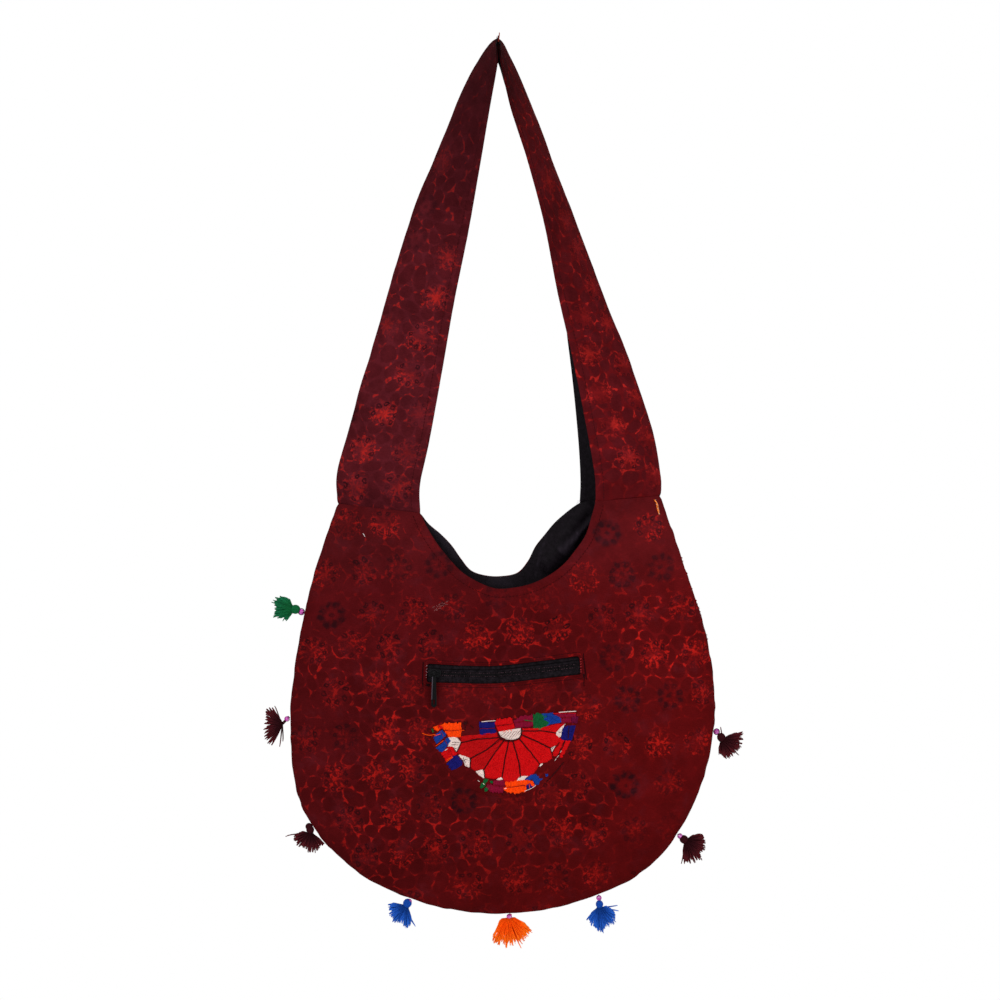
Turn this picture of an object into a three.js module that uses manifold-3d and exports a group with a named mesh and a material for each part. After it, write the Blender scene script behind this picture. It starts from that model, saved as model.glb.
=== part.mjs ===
// Shoulder bag in block-printed cotton: two panels sewn round the outer seam, a wide strap folded
// lengthwise, a black lining, a pocket zip, a half-round embroidered patch and eight tassels on beads.
// Millimetres, +Z up, the front faces -Y. The origin is the point the bag hangs from, under the strap's apex.
import * as THREE from "three";
import { mergeVertices } from "three/addons/utils/BufferGeometryUtils.js";
import Module from "manifold-3d";

const wasm = await Module();
wasm.setup();

// ---- driving sizes
const CLOTH = 1.6; // printed cotton with its interlining
const LINING = 1.0; // black lining cloth
const GAP = 0.35; // between neighbouring pieces
const LINING_SLACK = 3.2; // how far the lining hangs off the panels away from its seams
const SEAM_GAP = 0.2; // half the gap between the two panels at the outer seam
const SEAM_CUT = 0.014; // the panels stop this part of a row short of the strap's seams
const STRAP_CUT = 0.04; // and so does the strap
const STRAP_LINING_EDGE = 0.8; // the strap's lining stops short of the front edge, which is turned in over it
const BOW_AT = 0.55; // where on a rib its bow sits, from the seam to the edge

const PANEL_GRID = [42, 7];
const STRAP_GRID = [50, 10];

const ZIP_HALF_HEIGHT = 8.3; // of the window in the front panel
const TAPE = 0.9;
const TAPE_LAP = 4.5; // how far the tape reaches behind the window's edge
const TAPE_SET_BACK = 0.6; // behind the panel
const COIL_HALF_WIDTH = 2.2;
const COIL = 1.3;
const COIL_SET_BACK = 0.2;
const SLIDER_AT = { x: -60.3, z: -597.1 };
const SLIDER = { length: 12.4, height: 7.6, plate: 1.4, lift: 0.6, flange: 0.8, flangeReach: 1.6 };
const BAIL = { length: 9.8, bar: 1.2, height: 3.8 };
const PULL = { length: 32, topWidth: 3.0, width: 5.0, plate: 1.0, eye: 2.3, eyeHole: 1.25, slot: 0.9 };

const PATCH_RADIUS = 71;
const PATCH = 1.2;
const PATCH_LIFT = 0.6;
const PATCH_CENTRE = { x: 6.1, z: -642.9 };
const PATCH_TURN = THREE.MathUtils.degToRad(5.9);

const BEAD_RADIUS = 2.6;
const BEAD_HOLE = 0.9;
const STEM_RADIUS = 0.55;
const TASSEL_FLATNESS = 0.5; // depth of a tassel over its width

// ---- body: a row for each rib, from the left strap seam round the bottom to the right strap seam.
// seam: the outer seam; front and back: the mouth edge of each panel; roll and bow shape the belly.
const BODY_RIBS = [
  { seamX: -152.7, seamZ: -437.2, frontX: -74.4, frontY: -8, frontZ: -446.0, backX: -75.8, backY: 9.6, backZ: -444.9, roll: 12, bow: 7, backBow: 7 },
  { seamX: -176.0, seamZ: -507.8, frontX: -66.7, frontY: -9, frontZ: -461.7, backX: -66.4, backY: 10, backZ: -457.0, roll: 14, bow: 9, backBow: 8 },
  { seamX: -191.3, seamZ: -581.0, frontX: -57.5, frontY: -10, frontZ: -476.4, backX: -54.9, backY: 11, backZ: -466.9, roll: 17, bow: 12, backBow: 10 },
  { seamX: -197.3, seamZ: -655.4, frontX: -46.5, frontY: -11.5, frontZ: -490.1, backX: -44.5, backY: 12, backZ: -477.8, roll: 20, bow: 15, backBow: 13 },
  { seamX: -184.8, seamZ: -728.9, frontX: -34.3, frontY: -13, frontZ: -502.6, backX: -35.8, backY: 13, backZ: -490.2, roll: 22, bow: 18, backBow: 15 },
  { seamX: -136.2, seamZ: -785.3, frontX: -19.3, frontY: -14, frontZ: -511.9, backX: -25.8, backY: 13.5, backZ: -501.7, roll: 23, bow: 19.5, backBow: 16 },
  { seamX: -68.6, seamZ: -817.4, frontX: -2.7, frontY: -15, frontZ: -518.1, backX: -11.2, backY: 14, backZ: -506.6, roll: 24, bow: 20, backBow: 16 },
  { seamX: 5.4, seamZ: -826.9, frontX: 15.0, frontY: -16, frontZ: -517.4, backX: 3.9, backY: 14, backZ: -507.1, roll: 24, bow: 20, backBow: 16 },
  { seamX: 79.3, seamZ: -814.6, frontX: 32.1, frontY: -18, frontZ: -513.4, backX: 18.6, backY: 14, backZ: -503.8, roll: 24, bow: 20, backBow: 16 },
  { seamX: 145.4, seamZ: -780.7, frontX: 47.9, frontY: -20, frontZ: -505.8, backX: 28.7, backY: 14, backZ: -492.7, roll: 23, bow: 19.5, backBow: 16 },
  { seamX: 187.3, seamZ: -719.1, frontX: 61.9, frontY: -23, frontZ: -495.3, backX: 35.8, backY: 13.5, backZ: -479.2, roll: 22, bow: 18, backBow: 15 },
  { seamX: 205.5, seamZ: -646.3, frontX: 72.9, frontY: -27, frontZ: -482.2, backX: 45.2, backY: 13, backZ: -467.2, roll: 20, bow: 15, backBow: 13 },
  { seamX: 200.0, seamZ: -572.0, frontX: 82.5, frontY: -31, frontZ: -468.1, backX: 55.0, backY: 12, backZ: -455.6, roll: 17, bow: 11, backBow: 10 },
  { seamX: 178.4, seamZ: -500.4, frontX: 87.9, frontY: -36, frontZ: -451.8, backX: 66.5, backY: 11, backZ: -445.8, roll: 14, bow: 8, backBow: 8 },
  { seamX: 154.3, seamZ: -429.7, frontX: 92.4, frontY: -40, frontZ: -435.3, backX: 78.7, backY: 10, backZ: -436.8, roll: 12, bow: 7, backBow: 7 },
];

// ---- strap: a row for each section, from the left seam over the apex to the right seam.
// fold: the outer edge, where the band is folded; front and back: the inner edge of each half.
const STRAP_SECTIONS = [
  { foldX: -152.7, foldZ: -437.2, frontX: -74.4, frontY: -8, frontZ: -446.0, backX: -75.8, backY: 9.6, backZ: -444.9, roll: 12, bow: 7 },
  { foldX: -153.0, foldZ: -411.2, frontX: -74.4, frontY: -9.5, frontZ: -418.8, backX: -77.0, backY: 13, backZ: -418.0, roll: 12, bow: 7 },
  { foldX: -142.3, foldZ: -367.9, frontX: -65.9, frontY: -12, frontZ: -379.3, backX: -71.9, backY: 20, backZ: -379.9, roll: 12, bow: 6 },
  { foldX: -122.8, foldZ: -299.7, frontX: -53.7, frontY: -21, frontZ: -313.2, backX: -60.6, backY: 33, backZ: -314.3, roll: 13, bow: 5 },
  { foldX: -103.5, foldZ: -231.8, frontX: -42.1, frontY: -30, frontZ: -247.5, backX: -48.6, backY: 40, backZ: -248.8, roll: 14, bow: 5 },
  { foldX: -82.2, foldZ: -164.2, frontX: -28.8, frontY: -38.5, frontZ: -182.2, backX: -35.4, backY: 46, backZ: -183.3, roll: 15, bow: 4 },
  { foldX: -57.8, foldZ: -103.0, frontX: -18.1, frontY: -50, frontZ: -121.7, backX: -23.6, backY: 53, backZ: -121.5, roll: 17, bow: 4 },
  { foldX: -36.2, foldZ: -50.7, frontX: -9.2, frontY: -56, frontZ: -69.7, backX: -13.1, backY: 57.4, backZ: -68.7, roll: 19, bow: 3 },
  { foldX: -16.5, foldZ: -13.2, frontX: -2.2, frontY: -59.6, frontZ: -30.5, backX: -6.5, backY: 60.2, backZ: -28.8, roll: 20, bow: 3 },
  { foldX: 0.0, foldZ: 3.0, frontX: 0.0, frontY: -60.9, frontZ: -7.0, backX: 0.0, backY: 61.3, backZ: -8.4, roll: 20, bow: 3 },
  { foldX: 13.2, foldZ: -16.0, frontX: 4.7, frontY: -61.2, frontZ: -30.4, backX: 7.2, backY: 61.8, backZ: -28.2, roll: 20, bow: 3 },
  { foldX: 29.6, foldZ: -54.3, frontX: 13.1, frontY: -61.0, frontZ: -68.5, backX: 18.6, backY: 62.6, backZ: -65.9, roll: 20, bow: 3 },
  { foldX: 49.8, foldZ: -105.9, frontX: 29.0, frontY: -62.0, frontZ: -118.5, backX: 38.6, backY: 64.0, backZ: -114.7, roll: 19, bow: 4 },
  { foldX: 72.9, foldZ: -166.2, frontX: 44.6, frontY: -61.1, frontZ: -177.6, backX: 54.0, backY: 64.0, backZ: -174.4, roll: 18, bow: 4 },
  { foldX: 97.3, foldZ: -231.1, frontX: 57.1, frontY: -57.5, frontZ: -241.8, backX: 64.6, backY: 60.0, backZ: -239.8, roll: 17, bow: 5 },
  { foldX: 122.9, foldZ: -295.5, frontX: 71.8, frontY: -51.4, frontZ: -305.7, backX: 72.8, backY: 49.0, backZ: -305.7, roll: 16, bow: 6 },
  { foldX: 145.0, foldZ: -361.1, frontX: 84.6, frontY: -45, frontZ: -370.0, backX: 78.1, backY: 30, backZ: -371.5, roll: 14, bow: 7 },
  { foldX: 154.2, foldZ: -409.3, frontX: 91.7, frontY: -42, frontZ: -411.4, backX: 79.7, backY: 17, backZ: -412.9, roll: 12, bow: 7 },
  { foldX: 154.3, foldZ: -429.7, frontX: 92.4, frontY: -40, frontZ: -435.3, backX: 78.7, backY: 10, backZ: -436.8, roll: 12, bow: 7 },
];

// ---- soft folds: a row for each, a rounded ridge from (x0, z0) to (x1, z1) that stands out by `rise`
const FRONT_FOLDS = [
  { x0: -96, z0: -470, x1: -128, z1: -600, width: 26, rise: 1.6 },
  { x0: 108, z0: -462, x1: 138, z1: -590, width: 26, rise: 1.8 },
  { x0: -30, z0: -600, x1: 30, z1: -598, width: 16, rise: -1.2 },
  { x0: -120, z0: -700, x1: -40, z1: -760, width: 34, rise: 1.4 },
];
const BACK_FOLDS = [{ x0: 84, z0: -440, x1: 50, z1: -492, width: 9, rise: -6 }];

const ZIP_LINE = [
  { x: -66.9, z: -597.1 },
  { x: -33.0, z: -598.6 },
  { x: 0.0, z: -598.7 },
  { x: 39.0, z: -594.4 },
  { x: 77.3, z: -589.6 },
];

// ---- tassels: a row for each, from the left side round the bottom; x and z are the bead's centre,
// turn is the way the tassel points, head 0 is a tassel with no knot under the bead.
const TASSELS = [
  { x: -186.8, z: -540.1, turn: 174.5, head: 4.2, length: 28.5, spread: 12, color: 0x10562d },
  { x: -200.4, z: -641.9, turn: -169, head: 0, length: 24.5, spread: 17, color: 0x2d0e14 },
  { x: -179.5, z: -744.2, turn: -108, head: 3.8, length: 25, spread: 12, color: 0x2d0e14 },
  { x: -84.4, z: -815.3, turn: -113, head: 3.8, length: 26, spread: 12, color: 0x1646a5 },
  { x: 10.7, z: -829.6, turn: -89, head: 0, length: 29, spread: 17, color: 0xfa4b0a },
  { x: 95.9, z: -812.0, turn: -84, head: 3.4, length: 33, spread: 13, color: 0x1646a5 },
  { x: 172.9, z: -753.2, turn: -48, head: 4.2, length: 27, spread: 14, color: 0x2d0e14 },
  { x: 207.6, z: -654.0, turn: -42, head: 4.2, length: 29, spread: 15, color: 0x2d0e14 },
];

const COLOURS = {
  print: 0x580c10, lining: 0x18141a, zip: 0x141116, patch: 0xd71419, bead: 0xb432a5,
};

// ---- helpers
const vec = (x, y, z) => new THREE.Vector3(x, y, z);

// One column of a table at row position s, as a Catmull-Rom curve through the rows.
function column(rows, name, s) {
  const last = rows.length - 1;
  const i = Math.min(Math.max(Math.floor(s), 0), last - 1);
  const w = s - i;
  const b = rows[i][name];
  const c = rows[i + 1][name];
  const a = i > 0 ? rows[i - 1][name] : 2 * b - c;
  const d = i + 2 <= last ? rows[i + 2][name] : 2 * c - b;
  return b + 0.5 * w * (c - a + w * (2 * a - 5 * b + 4 * c - d + w * (3 * (b - c) + d - a)));
}

// Half of a section: from the fold or seam, square to the bag's middle plane, to the free edge.
function halfRib(fold, edge, side, roll, bow, t) {
  const leave = fold.clone();
  leave.y += side * roll;
  const middle = fold.clone().lerp(edge, BOW_AT);
  middle.y += side * bow;
  return new THREE.CubicBezierCurve3(fold, leave, middle, edge).getPoint(t);
}

function foldRise(folds, x, z) {
  let rise = 0;
  for (const f of folds) {
    const dx = f.x1 - f.x0;
    const dz = f.z1 - f.z0;
    const k = THREE.MathUtils.clamp(((x - f.x0) * dx + (z - f.z0) * dz) / (dx * dx + dz * dz), 0, 1);
    const d = Math.hypot(x - f.x0 - k * dx, z - f.z0 - k * dz) / f.width;
    rise += f.rise * Math.exp(-d * d);
  }
  return rise;
}

// A panel's outer face: s runs along the rows of BODY_RIBS, t from the seam to the mouth.
function panelPoint(side, s, t) {
  const at = (name) => column(BODY_RIBS, name, s);
  const front = side < 0;
  const fold = vec(at("seamX"), side * SEAM_GAP, at("seamZ"));
  const edge = front
    ? vec(at("frontX"), at("frontY"), at("frontZ"))
    : vec(at("backX"), at("backY"), at("backZ"));
  const p = halfRib(fold, edge, side, at("roll"), at(front ? "bow" : "backBow"), t);
  const fade = Math.min(1, t / 0.3);
  p.y += side * fade * foldRise(front ? FRONT_FOLDS : BACK_FOLDS, p.x, p.z);
  return p;
}

// The strap's outer face: s runs along STRAP_SECTIONS, t from -1 at the front edge over the fold to 1.
function strapPoint(s, t) {
  const at = (name) => column(STRAP_SECTIONS, name, s);
  const fold = vec(at("foldX"), 0, at("foldZ"));
  const edge = t < 0
    ? vec(at("frontX"), at("frontY"), at("frontZ"))
    : vec(at("backX"), at("backY"), at("backZ"));
  return halfRib(fold, edge, Math.sign(t) || 1, at("roll"), at("bow"), Math.abs(t));
}

// A closed wall: the face point(u, v) set off along its normal by outer(u, v) and by inner(u, v), where
// outwards is positive and `toward` says which way outwards is at the middle of the face.
function wall(point, [u0, u1], [v0, v1], [nu, nv], outer, inner, toward) {
  const normalAt = (u, v) => {
    const eu = (u1 - u0) * 1e-4;
    const ev = (v1 - v0) * 1e-4;
    const du = point(Math.min(u + eu, u1), v).sub(point(Math.max(u - eu, u0), v));
    const dv = point(u, Math.min(v + ev, v1)).sub(point(u, Math.max(v - ev, v0)));
    return du.cross(dv).normalize();
  };
  const sign = Math.sign(normalAt((u0 + u1) / 2, (v0 + v1) / 2).dot(toward)) || 1;
  const position = [];
  const row = nv + 1;
  for (const offset of [outer, inner])
    for (let i = 0; i <= nu; i++)
      for (let j = 0; j <= nv; j++) {
        const u = u0 + ((u1 - u0) * i) / nu;
        const v = v0 + ((v1 - v0) * j) / nv;
        const p = point(u, v).addScaledVector(normalAt(u, v), sign * offset(u, v));
        position.push(p.x, p.y, p.z);
      }
  const half = (nu + 1) * row;
  const index = [];
  const quad = (a, b, c, d) => index.push(a, b, c, a, c, d);
  for (let i = 0; i < nu; i++)
    for (let j = 0; j < nv; j++) {
      const a = i * row + j;
      quad(a, a + row, a + row + 1, a + 1);
      quad(half + a, half + a + 1, half + a + row + 1, half + a + row);
    }
  for (let i = 0; i < nu; i++) {
    const a = i * row;
    quad(a, half + a, half + a + row, a + row);
    quad(a + nv, a + nv + row, half + a + nv + row, half + a + nv);
  }
  for (let j = 0; j < nv; j++) {
    const b = nu * row + j;
    quad(j, j + 1, half + j + 1, half + j);
    quad(b, half + b, half + b + 1, b + 1);
  }
  if (sign < 0) for (let k = 0; k < index.length; k += 3) [index[k + 1], index[k + 2]] = [index[k + 2], index[k + 1]];
  const g = new THREE.BufferGeometry();
  g.setAttribute("position", new THREE.Float32BufferAttribute(position, 3));
  g.setIndex(index);
  return g;
}

function toSolid(geometry) {
  const plain = new THREE.BufferGeometry();
  plain.setAttribute("position", geometry.getAttribute("position"));
  if (geometry.index) plain.setIndex(geometry.index);
  const merged = mergeVertices(plain, 1e-4);
  return new wasm.Manifold(
    new wasm.Mesh({
      numProp: 3,
      vertProperties: new Float32Array(merged.attributes.position.array),
      triVerts: new Uint32Array(merged.index.array),
    }),
  );
}

function toGeometry(solid) {
  const m = solid.getMesh();
  const g = new THREE.BufferGeometry();
  g.setAttribute("position", new THREE.BufferAttribute(new Float32Array(m.vertProperties), 3));
  g.setIndex(new THREE.BufferAttribute(new Uint32Array(m.triVerts), 1));
  return g;
}

const joined = (...parts) => toGeometry(parts.map(toSolid).reduce((a, b) => a.add(b)));

// A flat shape in the plane of x and z, with a depth along y that ends at yBack.
function plate(shape, depth, yBack, curveSegments = 8) {
  const g = new THREE.ExtrudeGeometry(shape, { depth, bevelEnabled: false, curveSegments });
  return g.rotateX(Math.PI / 2).translate(0, yBack, 0);
}

const group = new THREE.Group();
function add(name, geometry, color, roughness = 0.9, metalness = 0) {
  geometry.computeVertexNormals();
  const mesh = new THREE.Mesh(geometry, new THREE.MeshStandardMaterial({ color, roughness, metalness }));
  mesh.name = name;
  group.add(mesh);
}

const FRONT = -1;
const BACK = 1;
const RIBS = [SEAM_CUT, BODY_RIBS.length - 1 - SEAM_CUT];
const SECTIONS = [STRAP_CUT, STRAP_SECTIONS.length - 1 - STRAP_CUT];
const frontFace = (s, t) => panelPoint(FRONT, s, t);
const backFace = (s, t) => panelPoint(BACK, s, t);

// The front panel's face straight behind (x, z), found by Newton steps from the middle of the panel.
function frontAt(x, z) {
  let s = 7;
  let t = 0.6;
  const e = 1e-3;
  for (let k = 0; k < 20; k++) {
    const p = frontFace(s, t);
    const a = frontFace(s + e, t).sub(p).divideScalar(e);
    const b = frontFace(s, t + e).sub(p).divideScalar(e);
    const det = a.x * b.z - b.x * a.z;
    const dx = x - p.x;
    const dz = z - p.z;
    s = THREE.MathUtils.clamp(s + (dx * b.z - b.x * dz) / det, 0, RIBS[1]);
    t = THREE.MathUtils.clamp(t + (a.x * dz - dx * a.z) / det, 0.02, 0.99);
  }
  return frontFace(s, t);
}

// ---- the zip's middle line, u from 0 to 1 between the window's ends
const zipCurve = new THREE.CatmullRomCurve3(ZIP_LINE.map((p) => vec(p.x, 0, p.z)), false, "catmullrom", 0.5);
function onZip(u, v) {
  const k = THREE.MathUtils.clamp(u, 0, 1);
  const p = zipCurve.getPoint(k);
  const along = zipCurve.getTangent(k);
  const span = ZIP_LINE[ZIP_LINE.length - 1].x - ZIP_LINE[0].x;
  const x = p.x + along.x * (u - k) * span - along.z * v;
  const z = p.z + along.z * (u - k) * span + along.x * v;
  return frontAt(x, z);
}

// ---- body
const windowShape = new THREE.Shape();
const WINDOW_STEPS = 12;
for (let i = 0; i <= WINDOW_STEPS; i++) {
  const p = onZip(i / WINDOW_STEPS, -ZIP_HALF_HEIGHT);
  if (i === 0) windowShape.moveTo(p.x, p.z);
  else windowShape.lineTo(p.x, p.z);
}
for (let i = WINDOW_STEPS; i >= 0; i--) {
  const p = onZip(i / WINDOW_STEPS, ZIP_HALF_HEIGHT);
  windowShape.lineTo(p.x, p.z);
}
const frontPanel = wall(frontFace, RIBS, [0, 1], PANEL_GRID, () => 0, () => -CLOTH, vec(0, -1, 0));
const zipWindow = plate(windowShape, 60, -4);
add("front_panel", toGeometry(toSolid(frontPanel).subtract(toSolid(zipWindow))), COLOURS.print);
add("back_panel", wall(backFace, RIBS, [0, 1], PANEL_GRID, () => 0, () => -CLOTH, vec(0, 1, 0)), COLOURS.print);

const hang = (t) => CLOTH + GAP + LINING_SLACK * Math.min(1, t / 0.2, (1 - t) / 0.25);
const liningOuter = (s, t) => -hang(t);
const liningInner = (s, t) => -hang(t) - LINING;
add("lining_front", wall(frontFace, RIBS, [0, 1], PANEL_GRID, liningOuter, liningInner, vec(0, -1, 0)), COLOURS.lining);
add("lining_back", wall(backFace, RIBS, [0, 1], PANEL_GRID, liningOuter, liningInner, vec(0, 1, 0)), COLOURS.lining);

// ---- strap
const up = vec(0, 0, 1);
add("strap", wall(strapPoint, SECTIONS, [-1, 1], STRAP_GRID, () => 0, () => -CLOTH, up), COLOURS.print);
const strapLiningOuter = () => -(CLOTH + GAP);
const strapLiningInner = () => -(CLOTH + GAP + LINING);
add("strap_lining", wall(strapPoint, SECTIONS, [-STRAP_LINING_EDGE, 1], [STRAP_GRID[0], STRAP_GRID[1] - 1], strapLiningOuter, strapLiningInner, up), COLOURS.lining);

// ---- zip
const tapeFront = () => -(CLOTH + TAPE_SET_BACK);
const tapeBack = () => -(CLOTH + TAPE_SET_BACK + TAPE);
const lap = TAPE_LAP / (ZIP_LINE[ZIP_LINE.length - 1].x - ZIP_LINE[0].x);
const tapeEdge = ZIP_HALF_HEIGHT + TAPE_LAP;
const outwards = vec(0, -1, 0);
add("zip_tape_upper", wall(onZip, [-lap, 1 + lap], [0.2, tapeEdge], [16, 2], tapeFront, tapeBack, outwards), COLOURS.zip);
add("zip_tape_lower", wall(onZip, [-lap, 1 + lap], [-tapeEdge, -0.2], [16, 2], tapeFront, tapeBack, outwards), COLOURS.zip);
const coilFront = () => -COIL_SET_BACK;
const coilBack = () => -(COIL_SET_BACK + COIL);
add("zip_coil", wall(onZip, [0.01, 0.99], [-COIL_HALF_WIDTH, COIL_HALF_WIDTH], [16, 2], coilFront, coilBack, outwards), COLOURS.zip, 0.5);

const coilY = frontAt(SLIDER_AT.x, SLIDER_AT.z).y + COIL_SET_BACK;
const plateBack = -SLIDER.lift;
const plateFront = plateBack - SLIDER.plate;
const barY = plateFront - BAIL.height + BAIL.bar / 2;

const sliderFace = new THREE.Shape();
const sl = SLIDER.length / 2;
const sh = SLIDER.height / 2;
sliderFace.moveTo(-sl, -sh * 0.45);
sliderFace.quadraticCurveTo(-sl, -sh, -sl * 0.55, -sh);
sliderFace.lineTo(sl * 0.6, -sh);
sliderFace.quadraticCurveTo(sl, -sh * 0.8, sl, 0);
sliderFace.quadraticCurveTo(sl, sh * 0.8, sl * 0.6, sh);
sliderFace.lineTo(-sl * 0.55, sh);
sliderFace.quadraticCurveTo(-sl, sh, -sl, sh * 0.45);
sliderFace.closePath();

const flange = (z) =>
  new THREE.BoxGeometry(SLIDER.length * 0.7, SLIDER.flangeReach, SLIDER.flange)
    .translate(0, plateBack - 0.2 + SLIDER.flangeReach / 2, z);

const bailShape = new THREE.Shape();
const bl = BAIL.length / 2;
bailShape.moveTo(-bl, plateFront + 0.2);
bailShape.lineTo(-bl, plateFront - BAIL.height);
bailShape.lineTo(bl, plateFront - BAIL.height);
bailShape.lineTo(bl, plateFront + 0.2);
bailShape.lineTo(bl - BAIL.bar, plateFront + 0.2);
bailShape.lineTo(bl - BAIL.bar, plateFront - BAIL.height + BAIL.bar);
bailShape.lineTo(-bl + BAIL.bar, plateFront - BAIL.height + BAIL.bar);
bailShape.lineTo(-bl + BAIL.bar, plateFront + 0.2);
bailShape.closePath();
const bail = new THREE.ExtrudeGeometry(bailShape, { depth: BAIL.bar, bevelEnabled: false }).translate(0, 0, -BAIL.bar / 2);

const slider = joined(
  plate(sliderFace, SLIDER.plate, plateBack),
  flange(sh - SLIDER.flange / 2),
  flange(-sh + SLIDER.flange / 2),
  bail,
).translate(SLIDER_AT.x, coilY, SLIDER_AT.z);
add("zip_slider", slider, COLOURS.zip, 0.4, 0.6);

// ---- pull: an eye round the bail's bar and a tapered tab with a slot near its end
const eyeShape = new THREE.Shape().absarc(0, 0, PULL.eye, 0, Math.PI * 2, false);
eyeShape.holes.push(new THREE.Path().absarc(0, 0, PULL.eyeHole, 0, Math.PI * 2, true));
const eye = new THREE.ExtrudeGeometry(eyeShape, { depth: PULL.topWidth, bevelEnabled: false, curveSegments: 12 })
  .translate(0, 0, -PULL.topWidth / 2)
  .rotateY(Math.PI / 2);
const tabShape = new THREE.Shape();
const tabTop = -(PULL.eyeHole + 0.35);
const tabRound = PULL.width / 2;
tabShape.moveTo(-PULL.topWidth / 2, tabTop);
tabShape.lineTo(-tabRound, -PULL.length + tabRound);
tabShape.absarc(0, -PULL.length + tabRound, tabRound, Math.PI, 2 * Math.PI, false);
tabShape.lineTo(PULL.topWidth / 2, tabTop);
tabShape.closePath();
const slot = new THREE.Path();
slot.moveTo(-PULL.slot, -PULL.length + 6.5);
slot.absarc(0, -PULL.length + 6.5, PULL.slot, Math.PI, 0, true);
slot.lineTo(PULL.slot, -PULL.length + 3);
slot.absarc(0, -PULL.length + 3, PULL.slot, 0, -Math.PI, true);
slot.closePath();
tabShape.holes.push(slot);
const tab = plate(tabShape, PULL.plate, PULL.plate / 2);
add("zip_pull", joined(eye, tab).translate(SLIDER_AT.x, coilY + barY, SLIDER_AT.z), COLOURS.zip, 0.4, 0.6);

// ---- embroidered patch: a half disc, its straight side up and turned a little
function onPatch(u, v) {
  const a = PATCH_RADIUS * u;
  const b = -PATCH_RADIUS * v * Math.sqrt(1 - u * u);
  return frontAt(
    PATCH_CENTRE.x + a * Math.cos(PATCH_TURN) - b * Math.sin(PATCH_TURN),
    PATCH_CENTRE.z + a * Math.sin(PATCH_TURN) + b * Math.cos(PATCH_TURN),
  );
}
add("embroidered_patch", wall(onPatch, [-0.99, 0.99], [0, 1], [20, 5], () => PATCH_LIFT + PATCH, () => PATCH_LIFT, outwards), COLOURS.patch);

// ---- tassels and beads
const ROUND = 12;
TASSELS.forEach((row, i) => {
  const { head, length, spread } = row;
  const place = (g) =>
    g.rotateZ(THREE.MathUtils.degToRad(row.turn) - Math.PI / 2).rotateX(Math.PI / 2).translate(row.x, 0, row.z);
  const stemEnd = BEAD_RADIUS + GAP;
  const profile = [
    [0, -stemEnd],
    [STEM_RADIUS, -stemEnd],
    [STEM_RADIUS, stemEnd],
  ];
  if (head) {
    const centre = BEAD_RADIUS + GAP + head;
    const waist = centre + head * 0.9;
    profile.push([head * 0.8, centre - head * 0.6], [head, centre], [head * 0.75, centre + head * 0.65], [head * 0.6, waist]);
    profile.push([spread * 0.55, waist + (length - waist) * 0.4]);
  } else {
    profile.push([1.2, stemEnd + 1.5], [spread * 0.45, stemEnd + (length - stemEnd) * 0.4]);
  }
  profile.push([spread, length * 0.9], [spread * 0.55, length], [0, length]);
  const body = new THREE.LatheGeometry(profile.map(([r, w]) => new THREE.Vector2(r, w)), ROUND);
  // the skirt is a flat fan, the stem stays round
  const p = body.getAttribute("position");
  for (let k = 0; k < p.count; k++) if (Math.abs(p.getZ(k)) > STEM_RADIUS + 1e-3) p.setZ(k, p.getZ(k) * TASSEL_FLATNESS);
  add(`tassel_${i + 1}`, place(body), row.color);

  const arc = [];
  const open = Math.acos(BEAD_HOLE / BEAD_RADIUS);
  const steps = 6;
  for (let k = 0; k <= steps; k++) {
    const a = -open + (2 * open * k) / steps;
    arc.push(new THREE.Vector2(BEAD_RADIUS * Math.cos(a), BEAD_RADIUS * Math.sin(a)));
  }
  arc.push(arc[0].clone());
  add(`bead_${i + 1}`, place(new THREE.LatheGeometry(arc, ROUND)), COLOURS.bead, 0.15);
});

export default group;
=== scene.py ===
import math

import bpy
import mathutils
import numpy as np
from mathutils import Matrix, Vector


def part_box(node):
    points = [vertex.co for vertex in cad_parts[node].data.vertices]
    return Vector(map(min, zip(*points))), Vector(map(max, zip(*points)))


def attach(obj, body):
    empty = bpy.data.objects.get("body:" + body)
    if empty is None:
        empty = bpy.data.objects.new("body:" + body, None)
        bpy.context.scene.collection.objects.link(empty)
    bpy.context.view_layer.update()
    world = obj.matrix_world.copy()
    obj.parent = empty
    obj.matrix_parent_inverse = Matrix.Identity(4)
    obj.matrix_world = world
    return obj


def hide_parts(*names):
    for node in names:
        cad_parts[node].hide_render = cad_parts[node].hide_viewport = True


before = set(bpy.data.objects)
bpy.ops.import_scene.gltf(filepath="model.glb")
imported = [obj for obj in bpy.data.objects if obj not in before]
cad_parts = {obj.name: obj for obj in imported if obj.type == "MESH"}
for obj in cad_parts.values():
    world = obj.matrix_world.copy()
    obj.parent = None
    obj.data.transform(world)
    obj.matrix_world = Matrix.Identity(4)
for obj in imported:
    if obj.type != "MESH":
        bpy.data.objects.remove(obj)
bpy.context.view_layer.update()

# Shoulder bag in block-printed cotton. Lengths below are millimetres in the frame's axes, +Z up, front -Y.
MM = 0.001
CLOTH = 1.6
LINING = 1.0
GAP = 0.35
LINING_SLACK = 3.2
SEAM_GAP = 0.2
BOW_AT = 0.55
ZIP_HALF_HEIGHT = 8.3
TOPSTITCH = 7.4  # from a finished edge to its row of stitches
PX = 0.95  # the print's drawing unit

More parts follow.
